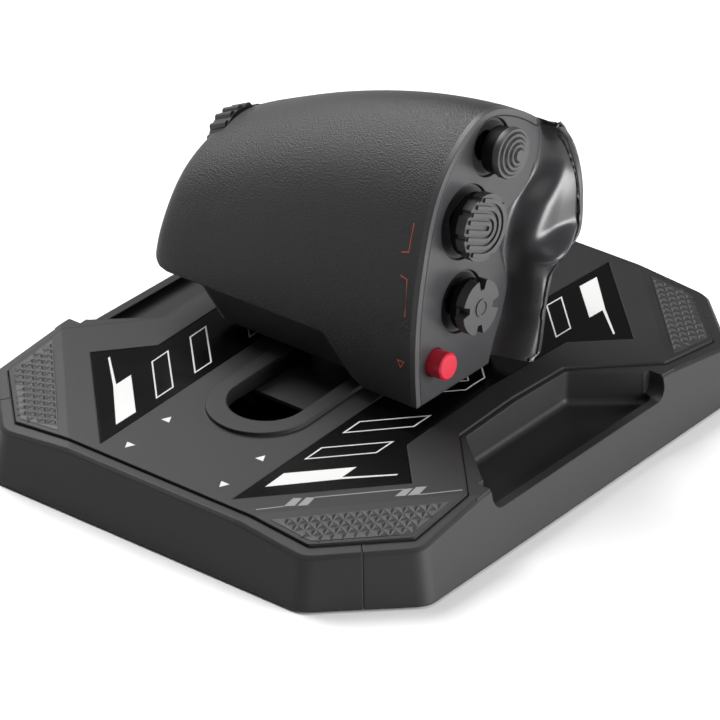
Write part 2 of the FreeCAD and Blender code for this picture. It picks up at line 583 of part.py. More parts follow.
def make_slide():
    """Guide rails, carriage, rack, pinion, dust shield and stem."""
    for name, x in (("left", -RAIL_X), ("right", RAIL_X)):
        rail = rod(RAIL_R, (x, -RAIL_HALF_L, RAIL_Z), (0, 1, 0), 2 * RAIL_HALF_L)
        rail = rail.makeChamfer(0.4, [e for e in rail.Edges if e.Curve.TypeId == "Part::GeomCircle"])
        keep("guide_rail_" + name, rail)
    clamp = block(-RAIL_X - 9.0, RAIL_X + 9.0, RAIL_HALF_L - 9.0, RAIL_HALF_L + 1.0,
                  PLATE_TOP, RAIL_Z + RAIL_R + 1.6)
    clamp = clamp.cut(block(-RAIL_X + 9.0, RAIL_X - 9.0, 0, FAR, PLATE_TOP + 5.0, 40.0))
    carriage = block(-RAIL_X - 9.0, RAIL_X + 9.0, -CARRIAGE_HALF_L, CARRIAGE_HALF_L,
                     CARRIAGE_Z, SHIELD_Z)
    carriage = carriage.makeFillet(4.0, [e for e in carriage.Edges if e.BoundBox.ZLength > 5])
    bushings = []
    bush_r = RAIL_R + RUN_FIT + BUSH_T
    for x in (-RAIL_X, RAIL_X):
        clamp = clamp.cut(rod(RAIL_R + 0.02, (x, 0, RAIL_Z), (0, 1, 0), RAIL_HALF_L + 0.02))
        carriage = carriage.cut(rod(bush_r, (x, -FAR, RAIL_Z), (0, 1, 0), 2 * FAR))
        for start in (-CARRIAGE_HALF_L, CARRIAGE_HALF_L - BUSH_L):
            bush = rod(bush_r, (x, start, RAIL_Z), (0, 1, 0), BUSH_L)
            bushings.append(bush.cut(rod(RAIL_R + RUN_FIT, (x, -FAR, RAIL_Z), (0, 1, 0),
                                         2 * FAR)))
    carriage = carriage.cut(rod(WIRE_BORE_R, (0, 0, 0), (0, 0, 1), FAR))
    for x in (-1, 1):
        carriage = carriage.cut(block(x * 18.0 - 3.0, x * 18.0 + 3.0, -20.0, 20.0,
                                      CARRIAGE_Z + 3.0, FAR))
    keep("rail_clamp_front", clamp)
    keep("rail_clamp_rear", mirror_y(clamp))
    keep("carriage", carriage)
    keep("slide_bushings", Part.makeCompound(bushings))

    pitch_x = PINION_X + GEAR_MODULE * PINION_TEETH / 2
    gear_low = PLATE_TOP + 2.6
    rack_half = TRAVEL + 9.0
    rack = plate(rack_profile(rack_half, GEAR_MODULE, BACKLASH, pitch_x,
                              pitch_x + GEAR_MODULE + RACK_BAR), gear_low, CARRIAGE_Z)
    keep("rack", rack)
    outline = gear_profile(PINION_TEETH, GEAR_MODULE, BACKLASH)
    gear_top = gear_low + PINION_T
    gear = plate([(PINION_X + x, y) for x, y in outline], gear_low, gear_top)
    for turn in range(5):
        angle = 2 * math.pi * turn / 5
        gear = gear.cut(rod(2.6, (PINION_X + 8.4 * math.cos(angle), 8.4 * math.sin(angle), 0),
                            (0, 0, 1), FAR))
    shaft = rod(2.5, (PINION_X, 0, FOOT_LIFT + 1.4), (0, 0, 1), gear_low - FOOT_LIFT - 1.4)
    keep("pinion", joined([gear, shaft]))
    sensor = block(PINION_X - 9.0, PINION_X + 9.0, -9.0, 9.0, PLATE_TOP, gear_low - 0.4)
    sensor = sensor.cut(rod(2.5 + RUN_FIT, (PINION_X, 0, 0), (0, 0, 1), FAR))
    keep("position_sensor", sensor)

    shield = block(-SHIELD_HALF_W, SHIELD_HALF_W, -SHIELD_HALF_L, SHIELD_HALF_L,
                   SHIELD_Z, SHIELD_Z + SHIELD_T)
    shield = shield.makeFillet(5.0, [e for e in shield.Edges if e.BoundBox.ZLength > 1.0])
    shield = shield.cut(stadium(NECK_HALF_W + 0.15, NECK_HALF_L + 0.15, 0.0, FAR))
    keep("dust_shield", shield)
    neck = stadium(NECK_HALF_W, NECK_HALF_L, SHIELD_Z, TUB_FLOOR)
    post = block(-STEM_HALF_W, STEM_HALF_W, -STEM_HALF_L, STEM_HALF_L, TUB_FLOOR, STEM_TOP)
    post = post.makeFillet(4.0, [e for e in post.Edges if e.BoundBox.ZLength > 5])
    stem = joined([neck, post]).cut(rod(WIRE_BORE_R, (0, 0, 0), (0, 0, 1), FAR))
    keep("stem", stem)


def make_electronics():
    """Main circuit board and the socket for a pedal lead."""
    pcb = block(-60.0, -46.0, -60.0, 20.0, PLATE_TOP + 2.0, PLATE_TOP + 3.6)
    for y in (-54.0, 14.0):
        pcb = pcb.fuse(rod(3.0, (-53.0, y, PLATE_TOP), (0, 0, 1), 2.0))
    for y, size in ((-40.0, 5.0), (-14.0, 4.0)):
        pcb = pcb.fuse(block(-53.0 - size, -53.0 + size, y - size, y + size,
                             PLATE_TOP + 3.6, PLATE_TOP + 5.0))
    keep("main_board", pcb.removeSplitter())
    face = DECK_HALF_D + SKIRT_OUT - DRAFT * (PORT_Z - FOOT_LIFT)
    shell = block(PORT_X - PORT_HALF_W - 1.5, PORT_X + PORT_HALF_W + 1.5, face - 18.0,
                  face - 1.4, PORT_Z - PORT_HALF_H - 1.5, PORT_Z + PORT_HALF_H + 1.5)
    shell = shell.cut(port_space(0.0, face - 16.0))
    keep("pedal_socket", shell)
    hole = block(PORT_X - PORT_HALF_W - 1.8, PORT_X + PORT_HALF_W + 1.8, face - 19.0,
                 face + 10.0, PORT_Z - PORT_HALF_H - 1.8, PORT_Z + PORT_HALF_H + 1.8)
    PARTS["front_fascia"] = PARTS["front_fascia"].cut(hole)
    stand = block(PORT_X - PORT_HALF_W, PORT_X + PORT_HALF_W, face - 17.0, face - 8.0,
                  PLATE_TOP, PORT_Z - PORT_HALF_H - 1.5)
    PARTS["base_plate"] = PARTS["base_plate"].fuse(stand)


def port_space(margin, from_y):
    """The space a plug takes in the pedal socket."""
    return block(PORT_X - PORT_HALF_W + margin, PORT_X + PORT_HALF_W - margin, from_y, FAR,
                 PORT_Z - PORT_HALF_H + margin, PORT_Z + PORT_HALF_H - margin)


# --------------------------------------------------------------------- hand grip
def grip_scale(x):
    """Height of the grip above its base level, as a share of the thumb side's."""
    fall = TAPER * max(0.0, TAPER_FROM_X - x) ** TAPER_POWER
    return (GRIP_TOP_Z - GRIP_BASE_Z - fall) / (GRIP_TOP_Z - GRIP_BASE_Z)


def section_points(x, inset):
    """Palm and front outline points (Y, Z) of the grip at one station."""
    blend = (x - FINGER_TO_X) / (FLANGE_FROM_X - FINGER_TO_X)
    blend = min(1.0, max(0.0, blend))
    front = [(fy + (gy - fy) * blend, fz + (gz - fz) * blend)
             for (fy, fz), (gy, gz) in zip(FINGER_PROFILE, FLANGE_PROFILE)]
    scale = grip_scale(x)
    shaped = []
    for y, z in PALM_PROFILE + front:
        high = GRIP_BASE_Z + (z - GRIP_BASE_Z) * scale if z > GRIP_BASE_Z else z
        shaped.append((y, high))
    moved = []
    last = len(shaped) - 1
    for i, (y, z) in enumerate(shaped):
        before = shaped[i - 1] if i > 0 else (y, z - 1.0)
        after = shaped[i + 1] if i < last else (y, z - 1.0)
        run_y, run_z = after[0] - before[0], after[1] - before[1]
        length = math.hypot(run_y, run_z)
        moved.append((y + inset * run_z / length, z - inset * run_y / length))
    count = len(PALM_PROFILE)
    return moved[:count], moved[count - 1:]


def grip_section(x, inset):
    """Closed section wire of the grip at one station."""
    palm, front = section_points(x, inset)
    edges = []
    for points in (palm, front):
        curve = Part.BSplineCurve()
        curve.interpolate([Vector(x, y, z) for y, z in points])
        edges.append(curve.toShape())
    edges.append(Part.LineSegment(Vector(x, *front[-1]), Vector(x, *palm[0])).toShape())
    return Part.Wire(edges)


def grip_form(inset, lift=0.0, style="smooth"):
    """Closed form of the whole grip, moved inwards by an inset.

    The style is smooth for the palm side, ruled for the front, and inner for what
    lies behind the walls, which needs fewer stations.
    """
    end = GRIP_END_X + inset
    rounding = END_R - inset
    steps = [(0.0, 0.75), (0.12, 0.36), (0.45, 0.09), (1.0, 0.0)]
    middle = [-52.0, -32.0, -12.0, 10.0]
    if style == "inner":
        steps = [steps[0], steps[-1]]
        middle = [-40.0, -5.0]
    stations = [(end + rounding * d, inset + rounding * r) for d, r in steps]
    stations += [(x, inset) for x in middle + [FINGER_TO_X, FLANGE_FROM_X, GRIP_RIGHT_X]]
    wires = [grip_section(x, amount) for x, amount in stations]
    return Part.makeLoft(wires, True, style != "smooth").cut(hem_prism(lift))


def hem_prism(lift):
    """Space below the grip's lower edge, raised by a lift."""
    high = PALM_HEM_Z + lift
    low = PALM_CORNER_Z + lift
    slope = [(HEM_FROM_X, high), (HEM_TO_X - 3.0, low + 2.6), (HEM_TO_X + 2.0, low)]
    corner = [(GRIP_END_X + HEM_R * (1 - math.cos(math.radians(turn))),
               high + HEM_R * (1 - math.sin(math.radians(turn)))) for turn in (90, 65, 40, 15)]
    points = [(-FAR, 0.0), (FAR, 0.0), (FAR, low)] + slope[::-1] + corner
    points.append((-FAR, corner[-1][1]))
    return front_prism(points, -FAR, FAR)


def eased(heights, values, z):
    """Value at a height on a smooth curve through the given heights."""
    i = max(k for k in range(len(heights) - 1) if heights[k] <= z)
    span = heights[i + 1] - heights[i]
    t = (z - heights[i]) / span

    def slope(k):
        low, high = max(k - 1, 0), min(k + 1, len(heights) - 1)
        return (values[high] - values[low]) / (heights[high] - heights[low]) * span

    return ((2 * t**3 - 3 * t**2 + 1) * values[i] + (t**3 - 2 * t**2 + t) * slope(i)
            + (3 * t**2 - 2 * t**3) * values[i + 1] + (t**3 - t**2) * slope(i + 1))


def channel_form():
    """Space over the thumb channel and the flange face."""
    heights = [row[0] for row in CHANNEL]
    wires = []
    for step in range(CHANNEL_ROWS + 1):
        z = heights[0] + (heights[-1] - heights[0]) * step / CHANNEL_ROWS
        z = min(z, heights[-1] - 1e-6)
        crease_y = eased(heights, [row[1] for row in CHANNEL], z)
        floor, foot_at, lip = (
            Vector(eased(heights, [row[k][0] for row in CHANNEL], z),
                   eased(heights, [row[k][1] for row in CHANNEL], z), z) for k in (2, 3, 4))
        edge = Vector(panel_x(z), crease_y, z)
        curve = Part.BSplineCurve()
        curve.interpolate([edge, floor, foot_at, lip])
        corners = curve.discretize(Number=CHANNEL_FACETS)
        corners += [Vector(lip.x, 80, z), Vector(90, 80, z), Vector(90, crease_y - 8, z),
                    edge + Vector(4.0, -4.0, 0), edge]
        wires.append(Part.makePolygon(corners))
    return Part.makeLoft(wires, True, True)


def panel_x(z):
    """Place of the thumb panel's face at a height."""
    return PANEL_X - PANEL_LEAN * (z - PANEL_Z)


def panel_form(depth):
    """Everything beyond the plane of the thumb panel, moved inwards by a depth."""
    space = Part.makeBox(FAR, 2 * FAR, 2 * FAR, Vector(-depth, -FAR, -FAR))
    space.Placement = Placement(Vector(PANEL_X, 0, PANEL_Z),
                                Rotation(Vector(1, 0, 0), Vector(1, 0, PANEL_LEAN)))
    return space


def crease_prism():
    """Everything on the palm side of the S-shaped crease."""
    curve = Part.BSplineCurve()
    curve.interpolate([Vector(20.0, y, z) for y, z in CREASE])
    (y0, z0), (y1, z1) = CREASE[0], CREASE[-1]
    corners = [Vector(20, y1, z1), Vector(20, -80, z1), Vector(20, -80, z0), Vector(20, y0, z0)]
    edges = [curve.toShape()]
    edges += [Part.LineSegment(a, b).toShape() for a, b in zip(corners, corners[1:])]
    return Part.Face(Part.Wire(edges)).extrude(Vector(80, 0, 0))


def panel_placement(y, z):
    """Frame on the thumb panel: its Z axis points out of the panel."""
    normal = Vector(1, 0, PANEL_LEAN).normalize()
    up = Vector(-PANEL_LEAN, 0, 1).normalize()
    rotation = Rotation(Vector(0, 1, 0), up, normal, "ZXY")
    return Placement(Vector(PANEL_X - PANEL_LEAN * (z - PANEL_Z), y, z), rotation)


def front_placement(x, y, z):
    """Frame on the finger side: its Z axis points forwards."""
    return Placement(Vector(x, y, z), Rotation(Vector(-1, 0, 0), Vector(0, 0, 1),
                                               Vector(0, 1, 0), "ZXY"))


def placed(shape, placement):
    """A copy of the shape moved to a frame."""
    moved = shape.copy()
    moved.Placement = placement.multiply(moved.Placement)
    return moved


def make_grip():
    """Palm shell, front shell, lower shell, thumb cover and thumb rest."""
    hollow_form = grip_form(WALL, -10.0, "inner")
    core = grip_form(WALL + 0.2, 0.0, "inner")
    channel = channel_form()
    crease = crease_prism().translated(Vector(0, CREASE_SPLIT, 0))
    flat = panel_form(0.0).common(crease.translated(Vector(0, 1.0, 0)))
    palm_side = side_prism([(-60, 10), (0, 10), (0, 70), (SEAM_Y - SEAM, 70),
                            (SEAM_Y - SEAM, 150), (-60, 150)], -FAR, FAR)
    front_side = side_prism([(0.2, 10), (90, 10), (90, 150), (SEAM_Y, 150), (SEAM_Y, 69.8),
                             (0.2, 69.8)], -FAR, FAR)
    palm, front = (
        largest(grip_form(0.0, 0.0, style).cut(hollow_form).cut(channel).cut(flat).common(side))
        for style, side in (("smooth", palm_side), ("ruled", front_side)))
    thumb = core.cut(channel).cut(flat)
    thumb_cover = largest(thumb.common(panel_form(PANEL_T)).common(crease))
    rest = largest(thumb.common(block(36.0, FAR, -FAR, FAR, 0, FAR * 2)).cut(crease))
    for y, z, cap_r, _ in (UPPER_HAT, MIDDLE_HAT, LOWER_HAT):
        hole = rod(cap_r + WELL_ROOM, (0, 0, -PANEL_T - 1.0), (0, 0, 1), 20.0)
        hole = placed(hole, panel_placement(y, z))
        thumb_cover = thumb_cover.cut(hole)
        rest = rest.cut(placed(rod(cap_r + WELL_ROOM, (0, 0, -20.0), (0, 0, 1), 40.0),
                               panel_placement(y, z)))
        palm = palm.cut(hole)
    y, z, cap_r, _ = RED_BUTTON
    thumb_cover = thumb_cover.cut(placed(rod(cap_r + 0.25, (0, 0, -10), (0, 0, 1), 20.0),
                                         panel_placement(y, z)))
    keep("thumb_cover", largest(thumb_cover))
    keep("thumb_rest", largest(rest))
    keep("palm_shell", palm)
    keep("front_shell", front)

    tub = front_prism([(TUB_LEFT_TOP, 46.0), (TUB_LEFT, TUB_FLOOR), (TUB_RIGHT, TUB_FLOOR),
                       (TUB_RIGHT, TUB_TOP), (TUB_LEFT_TOP, TUB_TOP)], TUB_REAR, TUB_FRONT)
    tub = tub.makeFillet(4.0, [e for e in tub.Edges if e.BoundBox.YLength < 0.01
                               and e.BoundBox.ZLength > 5.0])
    hollow = front_prism([(TUB_LEFT_TOP + WALL, 47.5), (TUB_LEFT + WALL, TUB_FLOOR + WALL),
                          (TUB_RIGHT - WALL, TUB_FLOOR + WALL), (TUB_RIGHT - WALL, TUB_TOP + 1),
                          (TUB_LEFT_TOP + WALL, TUB_TOP + 1)], TUB_REAR + WALL, TUB_FRONT - WALL)
    floor = core.common(block(GRIP_END_X, TUB_RIGHT, -FAR, FAR, PALM_HEM_Z, TUB_TOP))
    tub = tub.fuse(floor).cut(hollow)
    post = block(-STEM_HALF_W - 0.2, STEM_HALF_W + 0.2, -STEM_HALF_L - 0.2, STEM_HALF_L + 0.2,
                 TUB_FLOOR - 1.0, FAR)
    tub = tub.cut(post)
    keep("lower_shell", largest(tub.removeSplitter()))


# ---------------------------------------------------------------------- controls
def gimbal_set(name, frame, cap, cap_r, height):
    """Two-axis control: fixed module, tilting ring and the cap on its stem."""
    depth = HAT_PIVOT
    back = -depth - 5.0
    front = -PANEL_T - SOCKET_T
    module = block(-MODULE_HALF, MODULE_HALF, -MODULE_HALF, MODULE_HALF, back, front)
    module = module.cut(block(-MODULE_BORE, MODULE_BORE, -MODULE_BORE, MODULE_BORE,
                              back + 1.5, FAR))
    module = module.cut(rod(PIVOT_PIN_R + RUN_FIT, (-FAR, 0, -depth), (1, 0, 0), 2 * FAR))
    flange_r = cap_r + WELL_ROOM - 0.2
    socket = rod(flange_r, (0, 0, front), (0, 0, 1), SOCKET_T + SOCKET_DISH)
    throat = HAT_STEM_R + depth * math.tan(math.radians(HAT_TILT)) + THROAT_ROOM
    socket = socket.cut(Part.makeCone(throat, flange_r - 0.8, SOCKET_DISH + 0.01,
                                      Vector(0, 0, -PANEL_T), Vector(0, 0, 1)))
    socket = socket.cut(rod(throat, (0, 0, front - 1.0), (0, 0, 1), FAR))
    ring = block(-RING_OUT, RING_OUT, -RING_OUT, RING_OUT, -depth - RING_T / 2,
                 RING_T / 2 - depth)
    ring = ring.cut(block(-RING_IN, RING_IN, -RING_IN, RING_IN, -FAR, FAR))
    ring = ring.cut(rod(PIVOT_PIN_R + RUN_FIT, (0, -FAR, -depth), (0, 1, 0), 2 * FAR))
    for side in (-1, 1):
        ring = ring.fuse(rod(PIVOT_PIN_R, (side * (RING_OUT - 0.5), 0, -depth), (side, 0, 0),
                             MODULE_HALF - RING_OUT + 0.5))
    stem = rod(HAT_STEM_R, (0, 0, -depth - 2.5), (0, 0, 1), depth + 2.5 + height - HAT_CAP_T)
    pin = rod(PIVOT_PIN_R, (0, -RING_OUT + 0.3, -depth), (0, 1, 0), 2 * RING_OUT - 0.6)
    keep(name + "_module", placed(module, frame))
    keep(name + "_socket", placed(socket, frame))
    keep(name + "_gimbal", placed(ring.removeSplitter(), frame))
    keep(name + "_cap", placed(joined([stem, pin, cap]), frame))


def ring_cap(cap_r, height):
    """Domed cap with concentric steps."""
    under = height - HAT_CAP_T
    body = Part.makeCone(cap_r - 0.8, cap_r, 1.5, Vector(0, 0, under), Vector(0, 0, 1))
    body = body.fuse(rod(cap_r, (0, 0, under + 1.5), (0, 0, 1), 1.1))
    steps = 4
    rise = (HAT_CAP_T - 2.6) / steps
    for i in range(steps):
        radius = cap_r * (1 - (i + 0.6) / (steps + 0.8))
        low = under + 2.6 + rise * i
        body = body.fuse(Part.makeCone(radius + 0.45, radius, rise, Vector(0, 0, low),
                                       Vector(0, 0, 1)))
    return body


def notched_cap(cap_r, height, notches, notch_w):
    """Round cap with notches round its crown."""
    under = height - HAT_CAP_T
    body = Part.makeCone(cap_r - 1.0, cap_r, 2.0, Vector(0, 0, under), Vector(0, 0, 1))
    body = body.fuse(rod(cap_r, (0, 0, under + 2.0), (0, 0, 1), HAT_CAP_T - 2.0))
    for i in range(notches):
        cut = block(cap_r - 1.5, cap_r + 1, -notch_w / 2, notch_w / 2, under + 2.4, height + 1)
        cut.rotate(Vector(0, 0, 0), Vector(0, 0, 1), 360.0 * i / notches)
        body = body.cut(cut)
    return body


def u_ridge_cap(cap_r, height):
    """Castellated cap whose face carries nested U-shaped ridges."""
    body = notched_cap(cap_r, height, 12, 1.7)
    for radius in (3.0, 6.2):
        groove = rod(radius + 0.45, (0, 0, height - 0.9), (0, 0, 1), 2.0)
        groove = groove.cut(rod(radius, (0, 0, -FAR), (0, 0, 1), 2 * FAR))
        groove = groove.common(block(0, FAR, -FAR, FAR, 0, FAR))
        for side in (-1, 1):
            low = min(side * radius, side * (radius + 0.45))
            groove = groove.fuse(block(-cap_r + 0.8, 0, low, low + 0.45, height - 0.9,
                                       height + 1))
        groove.rotate(Vector(0, 0, 0), Vector(0, 0, 1), 14.0)
        body = body.cut(groove)
    return body


def cross_cap(cap_r, height):
    """Round cap with four deep notches and a central disc."""
    body = notched_cap(cap_r, height, 8, 1.3)
    for i in range(4):
        cut = block(cap_r * 0.62, cap_r + 1, -1.5, 1.5, height - 2.6, height + 1)
        cut.rotate(Vector(0, 0, 0), Vector(0, 0, 1), 90.0 * i)
        body = body.cut(cut)
    moat = rod(3.4, (0, 0, height - 0.7), (0, 0, 1), 2.0).cut(rod(2.7, (0, 0, 0), (0, 0, 1),
                                                                 FAR))
    return body.cut(moat)


def push_button(name, frame, radius, height, wall_back):
    """Push button that slides in its own housing."""
    travel = BUTTON_TRAVEL
    cap = rod(radius, (0, 0, -wall_back - 2.0), (0, 0, 1), wall_back + 2.0 + height)
    cap = cap.makeChamfer(0.7, [e for e in cap.Edges if abs(e.BoundBox.ZMin - height) < 0.01])
    cap = cap.fuse(rod(radius + 1.0, (0, 0, -wall_back - 2.0), (0, 0, 1), 1.4))
    low = -wall_back - 2.0 - travel - 3.0
    housing = rod(radius + 2.6, (0, 0, low), (0, 0, 1), -wall_back - low)
    housing = housing.cut(rod(radius + 1.3, (0, 0, low + 2.0), (0, 0, 1), FAR))
    keep(name, placed(cap, frame))
    return placed(housing, frame)


def make_thumb_controls():
    """Three hat switches and the red push button."""
    y, z, r, high = UPPER_HAT
    gimbal_set("upper_hat", panel_placement(y, z), ring_cap(r, high), r, high)
    y, z, r, high = MIDDLE_HAT
    gimbal_set("middle_hat", panel_placement(y, z), u_ridge_cap(r, high), r, high)
    y, z, r, high = LOWER_HAT
    gimbal_set("lower_hat", panel_placement(y, z), cross_cap(r, high), r, high)
    y, z, r, high = RED_BUTTON
    keep("red_button_housing", push_button("red_button", panel_placement(y, z), r, high,
                                           PANEL_T))


def wheel_frame():
    """Frame of the rotary wheel: its Z axis points to the thumb."""
    tilt = math.radians(WHEEL_TILT)
    axis = Vector(math.cos(tilt), 0, math.sin(tilt))
    return Placement(Vector(*WHEEL_CENTRE), Rotation(Vector(0, 0, 1), axis))


def make_wheel():
    """Ribbed rotary wheel on its axle, in a cup inside the grip."""
    frame = wheel_frame()
    half = WHEEL_W / 2
    body = rod(WHEEL_R - WHEEL_RIB_UP, (0, 0, -half), (0, 0, 1), WHEEL_W)
    rib = rod(1.5, (WHEEL_R - 1.5, 0, -half + 0.5), (0, 0, 1), WHEEL_W - 1.0)
    for i in range(WHEEL_RIBS):
        copy = rib.copy()
        copy.rotate(Vector(0, 0, 0), Vector(0, 0, 1), 360.0 * i / WHEEL_RIBS)
        body = body.fuse(copy)
    dish = Part.makeCone(WHEEL_R - 3.0, WHEEL_R - 5.0, 1.5, Vector(0, 0, -half - 0.01),
                         Vector(0, 0, 1))
    body = body.cut(dish)
    axle = rod(WHEEL_AXLE_R, (0, 0, half - 1.0), (0, 0, 1), 9.0)
    keep("rotary_wheel", placed(body.fuse(axle), frame))
    room = WHEEL_R + WHEEL_ROOM
    cup_back = half + WHEEL_ROOM
    outer = rod(room + 1.6, (0, 0, -half - 4.0), (0, 0, 1), cup_back + half + 5.6)
    space = rod(room, (0, 0, -FAR), (0, 0, 1), FAR + cup_back)
    bore = rod(WHEEL_AXLE_R + RUN_FIT, (0, 0, 0), (0, 0, 1), FAR)
    cup = outer.cut(space).cut(bore)
    cup = placed(cup, frame)
    core = grip_form(WALL + 0.2, 0.0, "inner")
    keep("wheel_cup", largest(cup.common(core)))
    space = placed(space, frame)
    PARTS["palm_shell"] = largest(PARTS["palm_shell"].cut(space))
    PARTS["front_shell"] = largest(PARTS["front_shell"].cut(space))


def make_finger_controls():
    """Mini-stick, two push-buttons and the rocking paddle on the finger side."""
    x, z = STICK_AT
    frame = front_placement(x, FINGER_WALL_Y, z)
    cap = Part.makeCone(STICK_R, STICK_R - 0.8, 1.6, Vector(0, 0, STICK_UP - 1.6),
                        Vector(0, 0, 1))
    cap = cap.fuse(rod(STICK_R, (0, 0, STICK_UP - 3.4), (0, 0, 1), 1.8))
    cap = cap.fuse(rod(STICK_R - 2.0, (0, 0, STICK_UP - HAT_CAP_T), (0, 0, 1), 2.7))
    gimbal_set("mini_stick", frame, cap, STICK_R - 0.5, STICK_UP)
    hole = placed(rod(STICK_R + WELL_ROOM - 0.5, (0, 0, -8.0), (0, 0, 1), 20.0), frame)
    front = PARTS["front_shell"].cut(hole)
    housings = []
    for name, (x, z) in zip(("first_finger_key", "second_finger_key"), KEY_AT):
        frame = front_placement(x, FINGER_WALL_Y, z)
        housings.append(push_button(name, frame, KEY_R, KEY_UP, KEY_WALL))
        front = front.cut(placed(rod(KEY_R + 0.25, (0, 0, -6.0), (0, 0, 1), 20.0), frame))
    keep("finger_key_housings", Part.makeCompound(housings))
    keep("front_shell", largest(make_paddle(front).removeSplitter()))
    keep("grip_board", block(-30.0, 12.0, STEM_HALF_L + 1.2, STEM_HALF_L + 2.8,
                             TUB_FLOOR + WALL, 80.0))


def make_paddle(front):
    """Rocking paddle on its pin, and the front shell with the lugs that hold it."""
    x, z = PADDLE_AT
    half_h = PADDLE_H / 2
    bar = block(x - PADDLE_HALF, x + PADDLE_HALF, PADDLE_Y, PADDLE_Y + PADDLE_T,
                z - half_h, z + half_h)
    bar = bar.makeChamfer(1.4, [e for e in bar.Edges if e.BoundBox.YMin > PADDLE_Y + 1.0])
    hub = rod(HUB_R, (x, PADDLE_PIN_Y, z - HUB_HALF), (0, 0, 1), 2 * HUB_HALF)
    web = block(x - HUB_R + 0.6, x + HUB_R - 0.6, PADDLE_PIN_Y, PADDLE_Y + 0.5,
                z - HUB_HALF, z + HUB_HALF)
    bore = rod(PADDLE_PIN_R + RUN_FIT, (x, PADDLE_PIN_Y, z - FAR), (0, 0, 1), 2 * FAR)
    keep("paddle", joined([bar, hub, web]).cut(bore))
    pin_half = HUB_HALF + LUG_T + 0.3
    pin = rod(PADDLE_PIN_R, (x, PADDLE_PIN_Y, z - pin_half), (0, 0, 1), 2 * pin_half)
    keep("paddle_pin", pin)
    for low in (z - pin_half, z + pin_half - LUG_T):
        lug = block(x - 2.6, x + 2.6, 41.0, PADDLE_PIN_Y + 2.2, low, low + LUG_T)
        front = front.fuse(lug.cut(pin))
    return front


def main():
    """Build every piece and write one STEP file each."""
    make_skirt()
    make_cover()
    make_bottom()
    make_slide()
    make_electronics()
    make_grip()
    make_thumb_controls()
    make_wheel()
    make_finger_controls()
    os.makedirs("parts", exist_ok=True)
    for name, shape in PARTS.items():
        shape.exportStep(os.path.join("parts", name + ".step"))
        print(name, len(shape.Solids), shape.isValid(), round(shape.Volume / 1000, 2))


main()
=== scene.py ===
"""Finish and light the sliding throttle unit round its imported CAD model."""
import json
import logging
import math
from dataclasses import dataclass, field
from enum import Enum

import bpy
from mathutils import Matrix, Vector


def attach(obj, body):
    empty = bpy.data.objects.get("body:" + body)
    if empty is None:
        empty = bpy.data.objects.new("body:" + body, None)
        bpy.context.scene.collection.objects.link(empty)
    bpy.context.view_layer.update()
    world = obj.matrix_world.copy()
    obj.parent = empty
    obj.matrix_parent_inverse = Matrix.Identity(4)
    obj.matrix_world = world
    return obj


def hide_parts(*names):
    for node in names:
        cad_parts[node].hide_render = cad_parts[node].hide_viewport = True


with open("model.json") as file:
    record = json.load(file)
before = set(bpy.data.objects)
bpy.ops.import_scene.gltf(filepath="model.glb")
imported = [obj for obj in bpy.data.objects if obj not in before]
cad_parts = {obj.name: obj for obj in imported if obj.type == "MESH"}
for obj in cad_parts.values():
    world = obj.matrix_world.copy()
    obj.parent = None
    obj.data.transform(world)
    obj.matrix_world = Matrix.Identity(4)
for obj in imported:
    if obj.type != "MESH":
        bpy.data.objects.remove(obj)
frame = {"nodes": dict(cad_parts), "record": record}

LOG = logging.getLogger("throttle")
MM = 0.001
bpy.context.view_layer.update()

Colour = tuple[float, float, float]
Spot = tuple[float, float]

# ------------------------------------------------------- sizes of the unit, in mm
DECK_TOP = 29.0             # deck height in the middle
DECK_FALL = 0.042           # its fall per millimetre towards front and rear
DECK_X = 92.0
DECK_Y = 112.0
CHAMFER_X = 66.0
CHAMFER_Y = 87.0
CREASE_X = 41.0
CREASE_Y = 58.0
CORNER_FALL = 2.5
INSERT_DROP = 0.15          # glossy insert below the deck
PAD_UP = 0.15               # grip pad above the corner facet
PAD_T = 0.6
PAD_INNER = 3.4             # pad inside the crease
PAD_OUTER = 2.0             # pad inside the deck's chamfered edge
PAD_SIDE = 2.2              # pad inside the deck's straight edges
PAD_ROWS = 4                # rows of raised triangles on a pad
TRIANGLE_UP = 0.45
PRINT_T = 0.04              # thickness of a printed mark
LINE_W = 0.55               # width of a printed line
PANEL_X = 50.0              # thumb panel at the height PANEL_Z
PANEL_Z = 33.0
PANEL_LEAN = 0.06
PANEL_RIM = 2.3             # smooth rim of the palm shell beside the panel


# ------------------------------------------------------------------ shader maths
class Value:
    """A number inside a shader that takes part in Python expressions."""

    def __init__(self, shader: "Shader", socket: bpy.types.NodeSocket) -> None:
        """Wrap one output socket of a shader."""
        self.shader = shader
        self.socket = socket

    def _math(self, operation: str, first: object, second: object) -> "Value":
        """Add one Math node.

        Args:
            operation: Blender's name of the operation.
            first: first operand, a Value or a number.
            second: second operand, a Value or a number.

        Returns:
            The node's result.
        """
        return self.shader.node("ShaderNodeMath", {"operation": operation},
                                {0: first, 1: second})

    def __add__(self, other: object) -> "Value":
        """Sum."""
        return self._math("ADD", self, other)

    __radd__ = __add__

    def __sub__(self, other: object) -> "Value":
        """Difference."""
        return self._math("SUBTRACT", self, other)

    def __rsub__(self, other: object) -> "Value":
        """Difference with the operands the other way round."""
        return self._math("SUBTRACT", other, self)

    def __mul__(self, other: object) -> "Value":
        """Product."""
        return self._math("MULTIPLY", self, other)

    __rmul__ = __mul__

    def __gt__(self, other: object) -> "Value":
        """1 where greater, else 0."""
        return self._math("GREATER_THAN", self, other)


